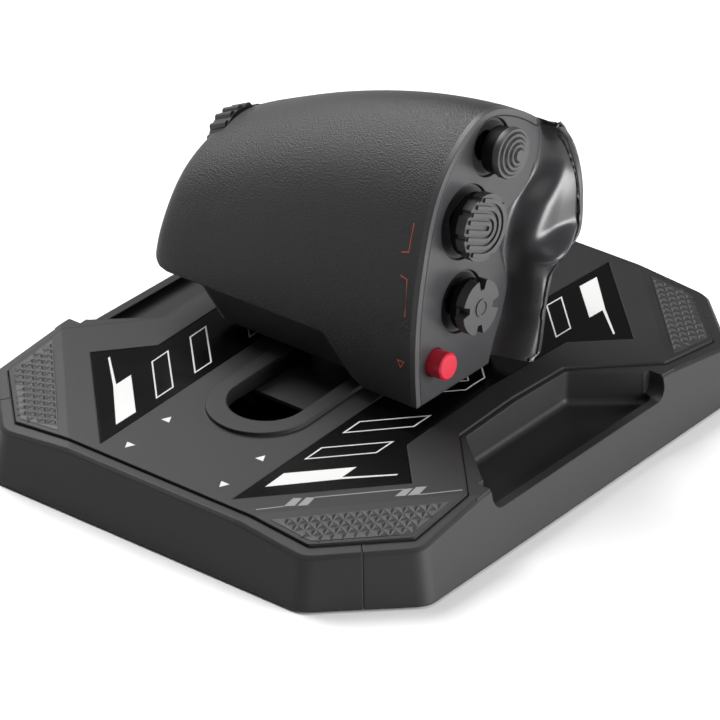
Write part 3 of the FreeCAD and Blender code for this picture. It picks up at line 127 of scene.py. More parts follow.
class Shader:
    """A material under construction."""

    def __init__(self, name: str) -> None:
        """Start an empty node material with a Principled surface."""
        self.material = bpy.data.materials.new(name)
        self.material.use_nodes = True
        self.tree = self.material.node_tree
        self.tree.nodes.clear()
        self.surface = self.tree.nodes.new("ShaderNodeBsdfPrincipled")
        output = self.tree.nodes.new("ShaderNodeOutputMaterial")
        self.tree.links.new(self.surface.outputs[0], output.inputs["Surface"])

    def node(self, kind: str, settings: dict, inputs: dict, output: object = 0) -> Value:
        """Add any node.

        Args:
            kind: node type.
            settings: attributes, set before the sockets.
            inputs: value or link per input socket.
            output: which output to return.

        Returns:
            The chosen output.
        """
        node = self.tree.nodes.new(kind)
        for key, value in settings.items():
            setattr(node, key, value)
        for key, value in inputs.items():
            self.put(node.inputs[key], value)
        return Value(self, node.outputs[output])

    def put(self, socket: bpy.types.NodeSocket, value: object) -> None:
        """Link a Value to a socket, or set the socket's own number."""
        if isinstance(value, Value):
            self.tree.links.new(value.socket, socket)
        else:
            socket.default_value = value

    def set(self, **inputs: object) -> None:
        """Set sockets of the surface; underscores stand for spaces."""
        for key, value in inputs.items():
            self.put(self.surface.inputs[key.replace("_", " ")], value)

    def place(self) -> Value:
        """Object coordinates."""
        return self.node("ShaderNodeTexCoord", {}, {}, "Object")

    def noise(self, size: float, detail: float = 3.0, rough: float = 0.55) -> Value:
        """Noise whose features have a size in metres."""
        return self.node("ShaderNodeTexNoise", {},
                         {"Vector": self.place(), "Scale": 1.0 / size, "Detail": detail,
                          "Roughness": rough}, "Fac")

    def cells(self, size: float) -> Value:
        """Distance to the nearest of scattered points, a size apart in metres."""
        return self.node("ShaderNodeTexVoronoi", {}, {"Vector": self.place(),
                                                      "Scale": 1.0 / size}, "Distance")

    def axes(self) -> tuple[Value, Value, Value]:
        """The three object coordinates, in metres."""
        split = self.node("ShaderNodeSeparateXYZ", {}, {0: self.place()})
        return tuple(Value(self, socket) for socket in split.socket.node.outputs)

    def between(self, mask: Value, low: object, high: Colour) -> Value:
        """Colour that goes from low to high as the mask goes from 0 to 1.

        Args:
            mask: share of the high colour.
            low: a fixed colour or a varying one.
            high: a fixed colour.

        Returns:
            The mixed colour.
        """
        start = low if isinstance(low, Value) else (*low, 1.0)
        return self.node("ShaderNodeMix", {"data_type": "RGBA"},
                         {0: mask, 6: start, 7: (*high, 1.0)}, 2)

    def softened(self, radius: float) -> Value:
        """Normal that turns softly over edges within a radius in metres."""
        return self.node("ShaderNodeBevel", {"samples": 4}, {"Radius": radius})

    def bump(self, height: Value, depth: float, edge: float) -> Value:
        """Normal from a height of 0 to 1 that stands for a depth, over softened edges."""
        return self.node("ShaderNodeBump", {}, {"Distance": depth, "Height": height,
                                                "Normal": self.softened(edge)})


@dataclass(frozen=True)
class Moulding:
    """A moulded plastic or rubber with a fine texture.

    Args:
        name: material name.
        colour: base colour.
        roughness: mean roughness.
        grain: size of the texture's grains in metres.
        relief: depth of the texture in metres.
        mottle: how much the colour varies, as a share.
        edge: radius over which edges look softened, in metres.
        shine: strength of the mirror-like share of the light.
    """

    name: str
    colour: Colour
    roughness: float
    grain: float = 0.0005
    relief: float = 0.00002
    mottle: float = 0.12
    edge: float = 0.0004
    shine: float = 0.5
    patch: float = 0.03         # size of the broad patches, in metres
    fine_share: float = 0.6     # shares of grain and patches in the colour
    patch_share: float = 0.4
    fine_rough: float = 0.1     # how much grain and patches vary the roughness
    patch_rough: float = 0.12

    def build(self) -> bpy.types.Material:
        """Build the material."""
        shader = Shader(self.name)
        shader.set(Specular_IOR_Level=self.shine)
        fine = shader.noise(self.grain, 2.0, 0.6)
        broad = shader.noise(self.patch, 3.0)
        dark = tuple(c * (1 - self.mottle) for c in self.colour)
        light = tuple(c * (1 + self.mottle) for c in self.colour)
        shares = fine * self.fine_share + broad * self.patch_share
        shader.set(Base_Color=shader.between(shares, dark, light),
                   Roughness=(broad - 0.5) * self.patch_rough + self.roughness
                   + (fine - 0.5) * self.fine_rough)
        shader.set(Normal=shader.bump(fine, self.relief, self.edge))
        return shader.material


@dataclass(frozen=True)
class GrainedShell:
    """Coarse moulding grain of the palm shell, smooth on its rim beside the panel."""

    name: str = "grained_black"
    colour: Colour = (0.0085, 0.0085, 0.009)
    rim: Colour = (0.035, 0.035, 0.037)
    roughness: float = 0.48
    grain: float = 0.0006
    relief: float = 0.00015
    pits: float = 1.1           # shares of the pits and the fine speckle in the grain
    speckle: float = 0.9
    level: float = 0.35
    dark: float = 0.5           # colour of the lowest and highest grain, as shares
    light: float = 1.7
    vary: float = 0.2           # how much the speckle varies the roughness
    edge: float = 0.0008

    def build(self) -> bpy.types.Material:
        """Build the material."""
        shader = Shader(self.name)
        cells = shader.cells(self.grain)
        fine = shader.noise(self.grain * 0.5, 3.0, 0.7)
        x, _, z = shader.axes()
        rim = x + z * PANEL_LEAN > (PANEL_X + PANEL_LEAN * PANEL_Z - PANEL_RIM) * MM
        grain = cells * self.pits + fine * self.speckle - self.level
        height = grain * (1.0 - rim)
        dark = tuple(c * self.dark for c in self.colour)
        light = tuple(c * self.light for c in self.colour)
        skin = shader.between(height, dark, light)
        shader.set(Base_Color=shader.between(rim, skin, self.rim),
                   Roughness=(fine - 0.5) * self.vary + self.roughness,
                   Normal=shader.bump(height, self.relief, self.edge))
        return shader.material


@dataclass(frozen=True)
class Metal:
    """Ground steel."""

    name: str
    colour: Colour
    roughness: float
    grain: float = 0.0004
    dark: float = 0.9
    vary: float = 0.15

    def build(self) -> bpy.types.Material:
        """Build the material."""
        shader = Shader(self.name)
        fine = shader.noise(self.grain, 2.0)
        dark = tuple(c * self.dark for c in self.colour)
        shader.set(Base_Color=shader.between(fine, dark, self.colour), Metallic=1.0,
                   Roughness=(fine - 0.5) * self.vary + self.roughness)
        return shader.material


class Tone(Enum):
    """Every finish on the unit."""

    BASE = Moulding("charcoal_texture", (0.015, 0.0153, 0.016), 0.5, 0.0004, 0.00004,
                    0.3, 0.0008, 0.3)
    GLOSS = Moulding("gloss_black", (0.002, 0.002, 0.0022), 0.2, 0.0004, 0.0, 0.1, 0.0004,
                     0.16)
    PAD = Moulding("pad_rubber", (0.022, 0.022, 0.0235), 0.5, 0.0005, 0.00002, 0.12, 0.0002)
    FOOT = Moulding("foot_rubber", (0.015, 0.015, 0.015), 0.8, 0.0006, 0.00003)
    STEEL = Metal("ground_steel", (0.6, 0.6, 0.61), 0.25)
    NYLON = Moulding("white_nylon", (0.55, 0.54, 0.5), 0.45, 0.0008, 0.00001, 0.05)
    BOARD = Moulding("solder_mask", (0.01, 0.09, 0.04), 0.35, 0.0008, 0.00001)
    INNER = Moulding("inner_black", (0.016, 0.016, 0.017), 0.55, 0.0006, 0.00002)
    PALM = GrainedShell()
    SATIN = Moulding("satin_grey", (0.026, 0.026, 0.028), 0.33, 0.0004, 0.000006, 0.08,
                     0.0006)
    SOCKET = Moulding("socket_black", (0.008, 0.008, 0.008), 0.5, 0.0005, 0.00001)
    CAP = Moulding("cap_grey", (0.034, 0.034, 0.036), 0.45, 0.0003, 0.00001, 0.1, 0.0002)
    # near-black boot finish: its colour paints the shade in the wells round the hat caps
    SHADE_BOOT = Moulding("boot_painted_shade", (0.003, 0.003, 0.003), 0.6, 0.0005, 0.00001, 0.1, 0.0004,
                    0.12)
    RED = Moulding("button_red", (0.42, 0.008, 0.026), 0.35, 0.0005, 0.000008, 0.06)
    PRINT = Moulding("white_print", (0.6, 0.6, 0.59), 0.5, 0.0005, 0.0, 0.03)
    GREY_PRINT = Moulding("grey_print", (0.22, 0.22, 0.225), 0.4, 0.0005, 0.0, 0.03)
    ORANGE_PRINT = Moulding("orange_print", (0.50, 0.07, 0.03), 0.45, 0.0005, 0.0, 0.05)
    FLOOR = Moulding("pale_floor", (0.9, 0.9, 0.9), 0.8, 0.01, 0.0, 0.01)


SLOT_TONES = {"base_plastic": Tone.BASE, "gloss_panel": Tone.GLOSS, "pad_rubber": Tone.PAD,
              "foot_rubber": Tone.FOOT, "steel": Tone.STEEL, "nylon": Tone.NYLON,
              "circuit_board": Tone.BOARD, "inner_plastic": Tone.INNER,
              "grip_plastic": Tone.PALM, "satin_plastic": Tone.SATIN,
              "socket_plastic": Tone.SOCKET, "control_plastic": Tone.CAP,
              "red_plastic": Tone.RED}


@dataclass
class Paintbox:
    """Builds each finish once and hands it out."""

    made: dict[Tone, bpy.types.Material] = field(default_factory=dict)

    def get(self, tone: Tone) -> bpy.types.Material:
        """The material of a finish."""
        if tone not in self.made:
            self.made[tone] = tone.value.build()
        return self.made[tone]

    def coat(self, piece: bpy.types.Object, tone: Tone) -> None:
        """Give a piece one finish all over."""
        if not piece.material_slots:
            piece.data.materials.append(None)
        for slot in piece.material_slots:
            slot.material = self.get(tone)

    def coat_nodes(self) -> None:
        """Give every CAD node the finish of its material slot."""
        for part in frame["record"]["subparts"]:
            self.coat(frame["nodes"][part["node"]], SLOT_TONES[part["material_slot"]])


def roof(y: float) -> float:
    """Deck height at a distance along Y."""
    return DECK_TOP - DECK_FALL * abs(y)


def facet(x: float, y: float) -> float:
    """Height of the folded-down corner facet at a place on any corner."""
    crease_a = Vector((CREASE_X, DECK_Y, roof(DECK_Y)))
    crease_b = Vector((DECK_X, CREASE_Y, roof(CREASE_Y)))
    low_x, low_y = (CHAMFER_X + DECK_X) / 2, (CHAMFER_Y + DECK_Y) / 2
    low = Vector((low_x, low_y, roof(low_y) - CORNER_FALL))
    normal = (crease_b - crease_a).cross(low - crease_a)
    return low.z - (normal.x * (abs(x) - low.x) + normal.y * (abs(y) - low.y)) / normal.z


@dataclass
class Workshop:
    """Models new pieces with the operators of edit mode."""

    paints: Paintbox

    @staticmethod
    def only(piece: bpy.types.Object) -> None:
        """Select one object alone and make it active."""
        bpy.ops.object.select_all(action="DESELECT")
        piece.select_set(True)
        bpy.context.view_layer.objects.active = piece

    def polygon(self, outline: list[Spot], line: float = 0.0,
                thick: float = PRINT_T) -> bpy.types.Object:
        """A flat closed slab over an outline in millimetres.

        Args:
            outline: corners in order.
            line: leave only a frame of this width, or fill it when 0.
            thick: thickness of the slab.

        Returns:
            The new object, lying on the XY plane.
        """
        bpy.ops.object.select_all(action="DESELECT")
        bpy.ops.mesh.primitive_circle_add(vertices=len(outline), radius=1.0,
                                          fill_type="NGON")
        piece = bpy.context.active_object
        for vertex, (x, y) in zip(piece.data.vertices, outline):
            vertex.co = (x * MM, y * MM, 0.0)
        bpy.ops.object.mode_set(mode="EDIT")
        bpy.ops.mesh.select_all(action="SELECT")
        if line:
            bpy.ops.mesh.inset(thickness=line * MM, depth=0.0)
            bpy.ops.mesh.delete(type="FACE")
            bpy.ops.mesh.select_all(action="SELECT")
        bpy.ops.mesh.extrude_region_move(TRANSFORM_OT_translate={"value": (0, 0, thick * MM)})
        bpy.ops.mesh.select_all(action="SELECT")
        bpy.ops.mesh.normals_make_consistent(inside=False)
        bpy.ops.object.mode_set(mode="OBJECT")
        return piece

    def stroke(self, points: list[Spot], width: float) -> bpy.types.Object:
        """A printed line through points, cut square at its ends and mitred at corners."""
        left, right = [], []
        for i, point in enumerate(points):
            here = Vector(point)
            before = Vector(points[max(i - 1, 0)])
            after = Vector(points[min(i + 1, len(points) - 1)])
            runs = [run.normalized() for run in (here - before, after - here) if run.length]
            mean = (runs[0] + runs[-1]).normalized()
            side = Vector((-mean.y, mean.x)) * (width / 2 / mean.dot(runs[0]))
            left.append(tuple(here + side))
            right.append(tuple(here - side))
        return self.polygon(left + right[::-1])

    def joined(self, name: str, pieces: list[bpy.types.Object]) -> bpy.types.Object:
        """One named object from several."""
        self.only(pieces[0])
        for piece in pieces:
            piece.select_set(True)
        if len(pieces) > 1:
            bpy.ops.object.join()
        pieces[0].name = pieces[0].data.name = name
        return pieces[0]

    def mirrored(self, piece: bpy.types.Object, name: str, flip_x: bool,
                 flip_y: bool) -> bpy.types.Object:
        """A mirrored copy with its own mesh and outward faces."""
        self.only(piece)
        bpy.ops.object.duplicate()
        copy = bpy.context.active_object
        copy.name = copy.data.name = name
        for vertex in copy.data.vertices:
            vertex.co.x *= -1 if flip_x else 1
            vertex.co.y *= -1 if flip_y else 1
        if flip_x != flip_y:
            bpy.ops.object.mode_set(mode="EDIT")
            bpy.ops.mesh.select_all(action="SELECT")
            bpy.ops.mesh.flip_normals()
            bpy.ops.object.mode_set(mode="OBJECT")
        return copy

    def cornered(self, piece: bpy.types.Object, stem: str) -> list[bpy.types.Object]:
        """A piece of the front right corner and its mirror images on the other three."""
        others = (("right", "rear"), ("left", "front"), ("left", "rear"))
        return [piece] + [self.mirrored(piece, f"{stem}_{side}_{end}", side == "left",
                                        end == "rear") for side, end in others]

    def finish(self, piece: bpy.types.Object, tone: Tone, body: str, slot: str) -> None:
        """Paint a piece and tie it to a body."""
        self.paints.coat(piece, tone)
        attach(piece, body)


@dataclass
class DeckPrint(Workshop):
    """Printed marks on the deck, outlined in millimetres."""

    lift: float = 0.01          # gap under a printed mark
    window: tuple[Spot, ...] = ((33.4, 74.2), (51.0, 56.2), (51.2, 46.6), (33.4, 64.6))
    window_pitch: float = 20.9
    bar: tuple[Spot, ...] = ((33.6, 95.4), (51.4, 76.4), (65.2, 63.3), (65.2, 62.3),
                             (51.0, 75.2), (51.0, 67.2), (33.4, 85.0))
    chevron: tuple[Spot, ...] = ((50.6, 0.0), (50.6, 5.4), (33.6, 22.6), (33.6, 14.0),
                                 (47.6, 0.0))
    arrow_x: float = 21.2
    arrow_tips: Spot = (-105.0, -80.2)
    arrow_length: float = 3.4
    arrow_half: float = 1.8
    rule_bars: tuple = (((46.6, -101.2), (49.4, -98.8), (48.4, -93.5), (46.0, -95.3)),
                        ((50.2, -98.3), (52.7, -95.9), (51.7, -90.6), (49.3, -92.4)),
                        ((73.1, -74.2), (75.8, -71.7), (74.9, -66.5), (72.8, -68.8)),
                        ((76.2, -71.2), (79.0, -68.5), (78.1, -62.8), (75.4, -65.3)))
    rule_lines: tuple = (((40.3, -108.4), (46.6, -101.2)), ((51.7, -90.6), (72.8, -68.8)),
                         ((79.0, -68.5), (89.2, -57.4)))

    def laid(self, piece: bpy.types.Object, drop: float) -> bpy.types.Object:
        """Lay a flat piece on the sloping deck."""
        for vertex in piece.data.vertices:
            vertex.co.z += (roof(vertex.co.y / MM) - drop + self.lift) * MM
        return piece

    def insert_marks(self) -> None:
        """White marks on the glossy inserts: two frames, a filled bar and a chevron."""
        shapes = [self.polygon([(x, y - self.window_pitch * k) for x, y in self.window], LINE_W)
                  for k in (0, 1)]
        shapes.append(self.polygon(list(self.bar)))
        marks = self.laid(self.joined("marks_right_front", shapes), INSERT_DROP)
        line = [self.stroke(list(self.chevron), LINE_W)]
        centre = self.laid(self.joined("chevron_right_front", line), INSERT_DROP)
        for piece, stem in ((marks, "marks"), (centre, "chevron")):
            for copy in self.cornered(piece, stem):
                self.finish(copy, Tone.PRINT, "base", "gloss_panel")

    def arrows(self) -> None:
        """Pairs of arrowheads that show the way of travel."""
        rear, front = self.arrow_tips
        for side, x in (("left", -self.arrow_x), ("right", self.arrow_x)):
            heads = []
            for tip, way in ((rear, 1), (front, -1)):
                base, half = tip + self.arrow_length * way, self.arrow_half * way
                heads.append(self.polygon([(x, tip), (x - half, base), (x + half, base)]))
            piece = self.laid(self.joined(f"travel_arrows_{side}", heads), 0.0)
            self.finish(piece, Tone.PRINT, "base", "base_plastic")

    def crease_rule(self) -> None:
        """Grey rule with two pairs of slanted bars along the right rear crease."""
        shapes = [self.polygon(list(bar)) for bar in self.rule_bars]
        shapes += [self.stroke(list(line), LINE_W) for line in self.rule_lines]
        rule = self.laid(self.joined("crease_rule", shapes), 0.0)
        self.finish(rule, Tone.GREY_PRINT, "base", "base_plastic")


@dataclass
class GripPads(Workshop):
    """Rubber pads of the four corners, with rows of raised triangles."""

    border: float = 0.3         # plain border round the pattern
    foot: float = 0.54          # a triangle's foot and top, as shares of its side
    top: float = 0.14
    inset: float = 0.24         # how far a centre keeps from the border, likewise
    seat: float = 0.45          # height of a triangle's middle, as a share of its height
    steps: int = 60             # places tried along a row
    lead: float = 2.0           # sides by which a row starts before the corner

    def outline(self, inset: float) -> list[Spot]:
        """Plan outline of the front right pad, drawn in by an inset."""
        crease = (Vector((CREASE_X, DECK_Y)), Vector((DECK_X, CREASE_Y)), PAD_INNER)
        chamfer = (Vector((DECK_X, CHAMFER_Y)), Vector((CHAMFER_X, DECK_Y)), PAD_OUTER)
        right = (Vector((DECK_X, CREASE_Y)), Vector((DECK_X, CHAMFER_Y)), PAD_SIDE)
        front = (Vector((CHAMFER_X, DECK_Y)), Vector((CREASE_X, DECK_Y)), PAD_SIDE)
        edges = []
        for a, b, margin in (crease, right, chamfer, front):
            run = (b - a).normalized()
            inward = Vector((-run.y, run.x)) * (margin + inset)
            edges.append((a + inward, run))
        corners = []
        for (p, u), (q, v) in zip(edges, edges[1:] + edges[:1]):
            along = (q - p).cross(v) / u.cross(v)
            corners.append(tuple(p + u * along))
        return corners

    def covers(self, spot: Vector, inset: float) -> bool:
        """Whether a place lies on the pad and keeps an inset to its edge."""
        corners = [Vector(c) for c in self.outline(inset)]
        return all((b - a).cross(spot - a) > 0
                   for a, b in zip(corners, corners[1:] + corners[:1]))

    def triangles(self) -> list[bpy.types.Object]:
        """Raised triangles in rows along the crease."""
        corners = [Vector(c) for c in self.outline(self.border)]
        along = (corners[0] - corners[3]).normalized()
        inward = Vector((-along.y, along.x))
        row_h = max((c - corners[3]).dot(inward) for c in corners) / PAD_ROWS
        side = row_h * 2 / math.sqrt(3)
        bpy.ops.object.select_all(action="DESELECT")
        bpy.ops.mesh.primitive_cone_add(vertices=3, radius1=side * self.foot * MM,
                                        radius2=side * self.top * MM, depth=TRIANGLE_UP * MM)
        master = bpy.context.active_object
        up = TRIANGLE_UP * self.seat + PAD_T
        pieces = []
        for row in range(PAD_ROWS):
            for step in range(self.steps):
                flip = (step + row) % 2
                spot = (corners[3] + along * side * (step * 0.5 - self.lead)
                        + inward * row_h * (row + (1 + flip) / 3))
                if not self.covers(spot, side * self.inset):
                    continue
                self.only(master)
                bpy.ops.object.duplicate()
                piece = bpy.context.active_object
                turn = math.atan2(inward.y, inward.x) + math.pi * flip - math.pi / 2
                cos, sin = math.cos(turn), math.sin(turn)
                for vertex in piece.data.vertices:
                    x, y, z = vertex.co
                    vertex.co = (x * cos - y * sin + spot.x * MM,
                                 x * sin + y * cos + spot.y * MM, z + up * MM)
                pieces.append(piece)
        bpy.data.objects.remove(master)
        return pieces

    def build(self) -> None:
        """The front right pad and its mirror images."""
        slab = self.polygon(self.outline(0.0), thick=PAD_T)
        triangles = self.triangles()
        LOG.info("%d raised triangles to a pad", len(triangles))
        pad = self.joined("grip_pad_right_front", [slab, *triangles])
        for vertex in pad.data.vertices:
            x, y = vertex.co.x / MM, vertex.co.y / MM
            vertex.co.z += (facet(x, y) + PAD_UP - PAD_T) * MM
        for piece in self.cornered(pad, "grip_pad"):
            self.finish(piece, Tone.PAD, "base", "pad_rubber")


@dataclass
class GripPrint(Workshop):
    """Orange marks on the palm shell, wrapped on its surface.

    Their places are X and Z as seen from the rear.
    """

    line: float = 0.4
    pointer_line: float = 0.35
    brackets: tuple = (((39.4, 97.6), (39.7, 92.0), (39.9, 87.9), (37.0, 87.1)),
                       ((38.3, 79.4), (41.4, 78.9), (42.1, 72.0), (42.8, 65.9)))
    pointer: tuple = ((42.7, 46.6), (44.4, 49.6), (41.0, 49.6))
    lift: float = 0.02
    away: float = 200.0

    def wrapped(self, piece: bpy.types.Object) -> bpy.types.Object:
        """Carry a flat piece from behind the grip onto the palm shell."""
        shell = frame["nodes"]["palm_shell"]
        for vertex in piece.data.vertices:
            x, z, thick = vertex.co
            hit, spot, normal, _ = shell.ray_cast(Vector((x, -self.away * MM, z)),
                                                  Vector((0, 1, 0)))
            if hit:
                vertex.co = spot + normal * (thick + self.lift * MM)
        return piece

    def build(self) -> None:
        """Two bracket lines beside the thumb panel and a small pointer below them."""
        shapes = [self.stroke(list(points), self.line) for points in self.brackets]
        shapes.append(self.polygon(list(self.pointer), self.pointer_line))
        marks = self.wrapped(self.joined("grip_marks", shapes))
        self.only(marks)
        bpy.ops.object.mode_set(mode="EDIT")
        bpy.ops.mesh.select_all(action="SELECT")
        bpy.ops.mesh.normals_make_consistent(inside=False)
        bpy.ops.object.mode_set(mode="OBJECT")
        self.finish(marks, Tone.ORANGE_PRINT, "slider", "grip_plastic")


@dataclass
class Refiner(Workshop):
    """Merged and smoothly shaded stand-ins for faceted CAD nodes."""

    merge: float = 0.01         # distance at which loose corners become one, in mm

    def build(self, node: str, angle: float, tone: Tone, body: str, slot: str) -> None:
        """Copy a CAD node, merge its loose triangles and shade it smooth."""
        self.only(frame["nodes"][node])
        bpy.ops.object.duplicate()
        piece = bpy.context.active_object
        piece.name = piece.data.name = node + "_finished"
        bpy.ops.object.mode_set(mode="EDIT")
        bpy.ops.mesh.select_all(action="SELECT")
        bpy.ops.mesh.remove_doubles(threshold=self.merge * MM)
        bpy.ops.object.mode_set(mode="OBJECT")
        bpy.ops.object.shade_smooth_by_angle(angle=math.radians(angle))
        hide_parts(node)
        self.finish(piece, tone, body, slot)


def eased(places: list[float], values: list[float], at: float) -> float:
    """Value on a smooth curve through values at given places."""
    at = min(max(at, places[0]), places[-1] - 1e-6)
    i = max(k for k in range(len(places) - 1) if places[k] <= at)
    span = places[i + 1] - places[i]
    t = (at - places[i]) / span

    def slope(k: int) -> float:
        """Rise over one span at a given place."""
        low, high = max(k - 1, 0), min(k + 1, len(places) - 1)
        return (values[high] - values[low]) / (places[high] - places[low]) * span

    return ((2 * t**3 - 3 * t**2 + 1) * values[i] + (t**3 - 2 * t**2 + t) * slope(i)
            + (3 * t**2 - 2 * t**3) * values[i + 1] + (t**3 - t**2) * slope(i + 1))


def lengths(points: list[Vector]) -> list[float]:
    """Distance run along a chain of points, at each of them."""
    runs = [0.0]
    for before, after in zip(points, points[1:]):
        runs.append(runs[-1] + (after - before).length)
    return runs


def panel_x(z: float) -> float:
    """Place of the thumb panel's face at a height."""
    return PANEL_X - PANEL_LEAN * (z - PANEL_Z)


@dataclass
class ThumbRest(Workshop):
    """Smooth channel and flange in front of the thumb panel.

    Each station holds a height, the crease's Y, and the X and Y of the channel's
    floor, its foot and the lip of the flange. The profile holds the Y and Z of the
    flange's outline. Each band of rows holds two heights and the number of rows.
    """

    stations: tuple = ((26.0, 6.4, 46.5, 10.5, 53.5, 13.0, 61.0, 17.0),
                       (38.0, 10.4, 46.0, 14.8, 53.3, 17.8, 60.5, 22.3),
                       (48.0, 16.4, 45.5, 20.5, 53.0, 23.0, 59.7, 25.9),
                       (60.0, 20.6, 45.0, 24.2, 53.3, 26.2, 58.6, 30.4),
                       (72.0, 17.8, 43.5, 25.5, 52.0, 29.5, 57.0, 50.0),
                       (84.0, 19.4, 43.0, 30.0, 51.6, 38.0, 55.5, 53.5),
                       (94.0, 35.6, 43.5, 41.5, 50.6, 48.5, 54.0, 54.0),
                       (104.0, 40.8, 44.0, 44.5, 49.3, 48.5, 52.6, 51.8),
                       (114.0, 41.5, 44.4, 43.0, 47.5, 43.8, 51.0, 44.6),
                       (130.0, 41.3, 43.8, 42.0, 46.8, 42.6, 50.0, 43.2))
    profile: tuple = ((18.0, 28.0), (25.8, 47.0), (30.4, 60.0), (35.2, 66.0), (43.5, 67.2),
                      (50.2, 70.0), (53.6, 79.5), (54.7, 89.0), (53.2, 100.5),
                      (47.8, 110.7), (41.8, 116.4))
    bands: tuple = ((0.0, 60.0, 30), (60.0, 66.0, 8), (66.0, 71.5, 24), (71.5, 200.0, 60))
    columns: int = 44
    fine: int = 60              # steps along the curve from crease to lip
    rim_steps: int = 8          # steps from the lip to the rim
    bead_steps: int = 4         # columns beyond the seam
    wall: float = 2.0
    proud: float = 0.2          # height over the CAD face
    bead: float = 0.85          # raised bead of the rim beyond the seam
    tuck: float = 0.5           # how far the bead's last column turns down
    overhang: float = 0.3
    ridge_from: float = 67.0    # height above which the flange is flat behind a ridge
    ridge_rise: float = 9.0
    rim_gap: float = 0.05       # least way from the curve to the rim
    seam_from: float = 2.3      # seam inside the outer edge
    seam_least: float = 0.6     # but never before this share of the whole run
    seam_w: float = 0.5
    seam_floor: tuple = (0.3, 0.7)
    seam_deep: float = 0.5
    feel_back: float = 2.0      # where the outer edge is sought about the profile
    feel_on: float = 3.0
    feel_margin: float = 0.1
    feel_x: float = 200.0
    feel_reach: float = 158.0
    halvings: int = 12
    smooth_angle: float = 55.0

    def column(self, k: int, z: float) -> float:
        """One of the stations' values, eased to a height."""
        return eased([row[0] for row in self.stations], [row[k] for row in self.stations], z)

    def outer(self, z: float) -> float:
        """Y of the grip's outer edge at a height, felt from the thumb side."""
        nodes = [frame["nodes"][name] for name in ("thumb_rest", "front_shell")]
        guess = eased([spot[1] for spot in self.profile], [spot[0] for spot in self.profile],
                      max(z, self.profile[0][1]))
        low, high = guess - self.feel_back, guess + self.feel_on
        for _ in range(self.halvings):
            middle = (low + high) / 2
            start = Vector((self.feel_x, middle, z)) * MM
            struck = any(node.ray_cast(start, Vector((-1, 0, 0)),
                                       distance=self.feel_reach * MM)[0] for node in nodes)
            low, high = (middle, high) if struck else (low, middle)
        least = guess - self.feel_back + self.feel_margin
        most = guess + self.feel_on - self.feel_margin
        return low if least < low < most else guess

    def heights(self) -> list[float]:
        """Heights of the grid's rows in millimetres."""
        reach = [vertex.co.z / MM for vertex in frame["nodes"]["thumb_rest"].data.vertices]
        bottom, top = min(reach), max(reach)
        rows = []
        for low, high, count in self.bands:
            low, high = max(low, bottom), min(high, top)
            rows += [low + (high - low) * step / count for step in range(count)]
        return [*rows, top]

    def bend(self, z: float) -> list[Vector]:
        """Fine points along the curve from the crease to the lip, and on to the rim."""
        edge_y, floor_x, floor_y, foot_x, foot_y, lip_x, lip_y = (
            self.column(k, z) for k in range(1, 8))
        marks = [Vector((panel_x(z), edge_y)), Vector((floor_x, floor_y)),
                 Vector((foot_x, foot_y)), Vector((lip_x, lip_y))]
        knots = lengths(marks)
        share = min(max((z - self.ridge_from) / self.ridge_rise, 0.0), 1.0)
        share = share * share * (3 - 2 * share)
        flat = marks[:3] + [(marks[2] + marks[3]) / 2, marks[3]]
        stops = knots[:3] + [(knots[2] + knots[3]) / 2, knots[3]]
        points = []
        for step in range(self.fine + 1):
            t = knots[-1] * step / self.fine
            round_spot = Vector((0.0, 0.0))
            for i, mark in enumerate(marks):
                weight = 1.0
                for j, knot in enumerate(knots):
                    if j != i:
                        weight *= (t - knot) / (knots[i] - knot)
                round_spot += mark * weight
            ridged = Vector((eased(stops, [mark.x for mark in flat], t),
                             eased(stops, [mark.y for mark in flat], t)))
            points.append(round_spot.lerp(ridged, share))
        rim = self.outer(z) + self.overhang
        points = [spot for spot in points if spot.y < rim - self.rim_gap]
        tip = points[-1]
        return points + [Vector((tip.x, tip.y + (rim - tip.y) * k / self.rim_steps))
                         for k in range(1, self.rim_steps + 1)]

    def strip(self, z: float) -> list[Vector]:
        """Columns at even lengths along one height's curve, with the seam cut in."""
        points = self.bend(z)
        runs = lengths(points)
        total = runs[-1]
        last = self.columns - 1
        even = last - self.bead_steps - 3
        seam = max(total - self.seam_from - self.overhang, total * self.seam_least)
        places = [seam * k / even for k in range(even)]
        places += [seam, *(seam + self.seam_w * share for share in self.seam_floor),
                   seam + self.seam_w]
        rest = total - places[-1]
        places += [places[-1] + rest * k / self.bead_steps
                   for k in range(1, self.bead_steps + 1)]
        lifts = [-self.proud] + [self.proud] * even + [-self.seam_deep] * 2
        lifts += [self.bead] * self.bead_steps + [self.bead - self.tuck]
        spots = []
        for at, lift in zip(places, lifts):
            i = max(k for k in range(len(runs) - 1) if runs[k] <= at + 1e-9)
            run = points[i + 1] - points[i]
            spot = points[i] + run * ((at - runs[i]) / max(runs[i + 1] - runs[i], 1e-9))
            spots.append(spot + Vector((run.y, -run.x)).normalized() * lift)
        return spots

    def build(self) -> None:
        """Lay a grid over the channel and the flange and give it a wall."""
        heights = self.heights()
        bpy.ops.object.select_all(action="DESELECT")
        bpy.ops.mesh.primitive_grid_add(x_subdivisions=self.columns - 1,
                                        y_subdivisions=len(heights) - 1, size=1.0)
        piece = bpy.context.active_object
        grid = [self.strip(z) for z in heights]
        for i, vertex in enumerate(piece.data.vertices):
            row, column = divmod(i, self.columns)
            spot = grid[row][column]
            vertex.co = (spot.x * MM, spot.y * MM, heights[row] * MM)
        if sum(face.normal.x * face.area for face in piece.data.polygons) < 0:
            piece.data.flip_normals()
        solid = piece.modifiers.new("wall", "SOLIDIFY")
        solid.thickness = self.wall * MM
        solid.offset = -1.0
        bpy.ops.object.modifier_apply(modifier="wall")
        bpy.ops.object.shade_smooth_by_angle(angle=math.radians(self.smooth_angle))
        piece.name = piece.data.name = "thumb_rest_finished"
        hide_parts("thumb_rest")
        self.finish(piece, Tone.SATIN, "slider", "satin_plastic")


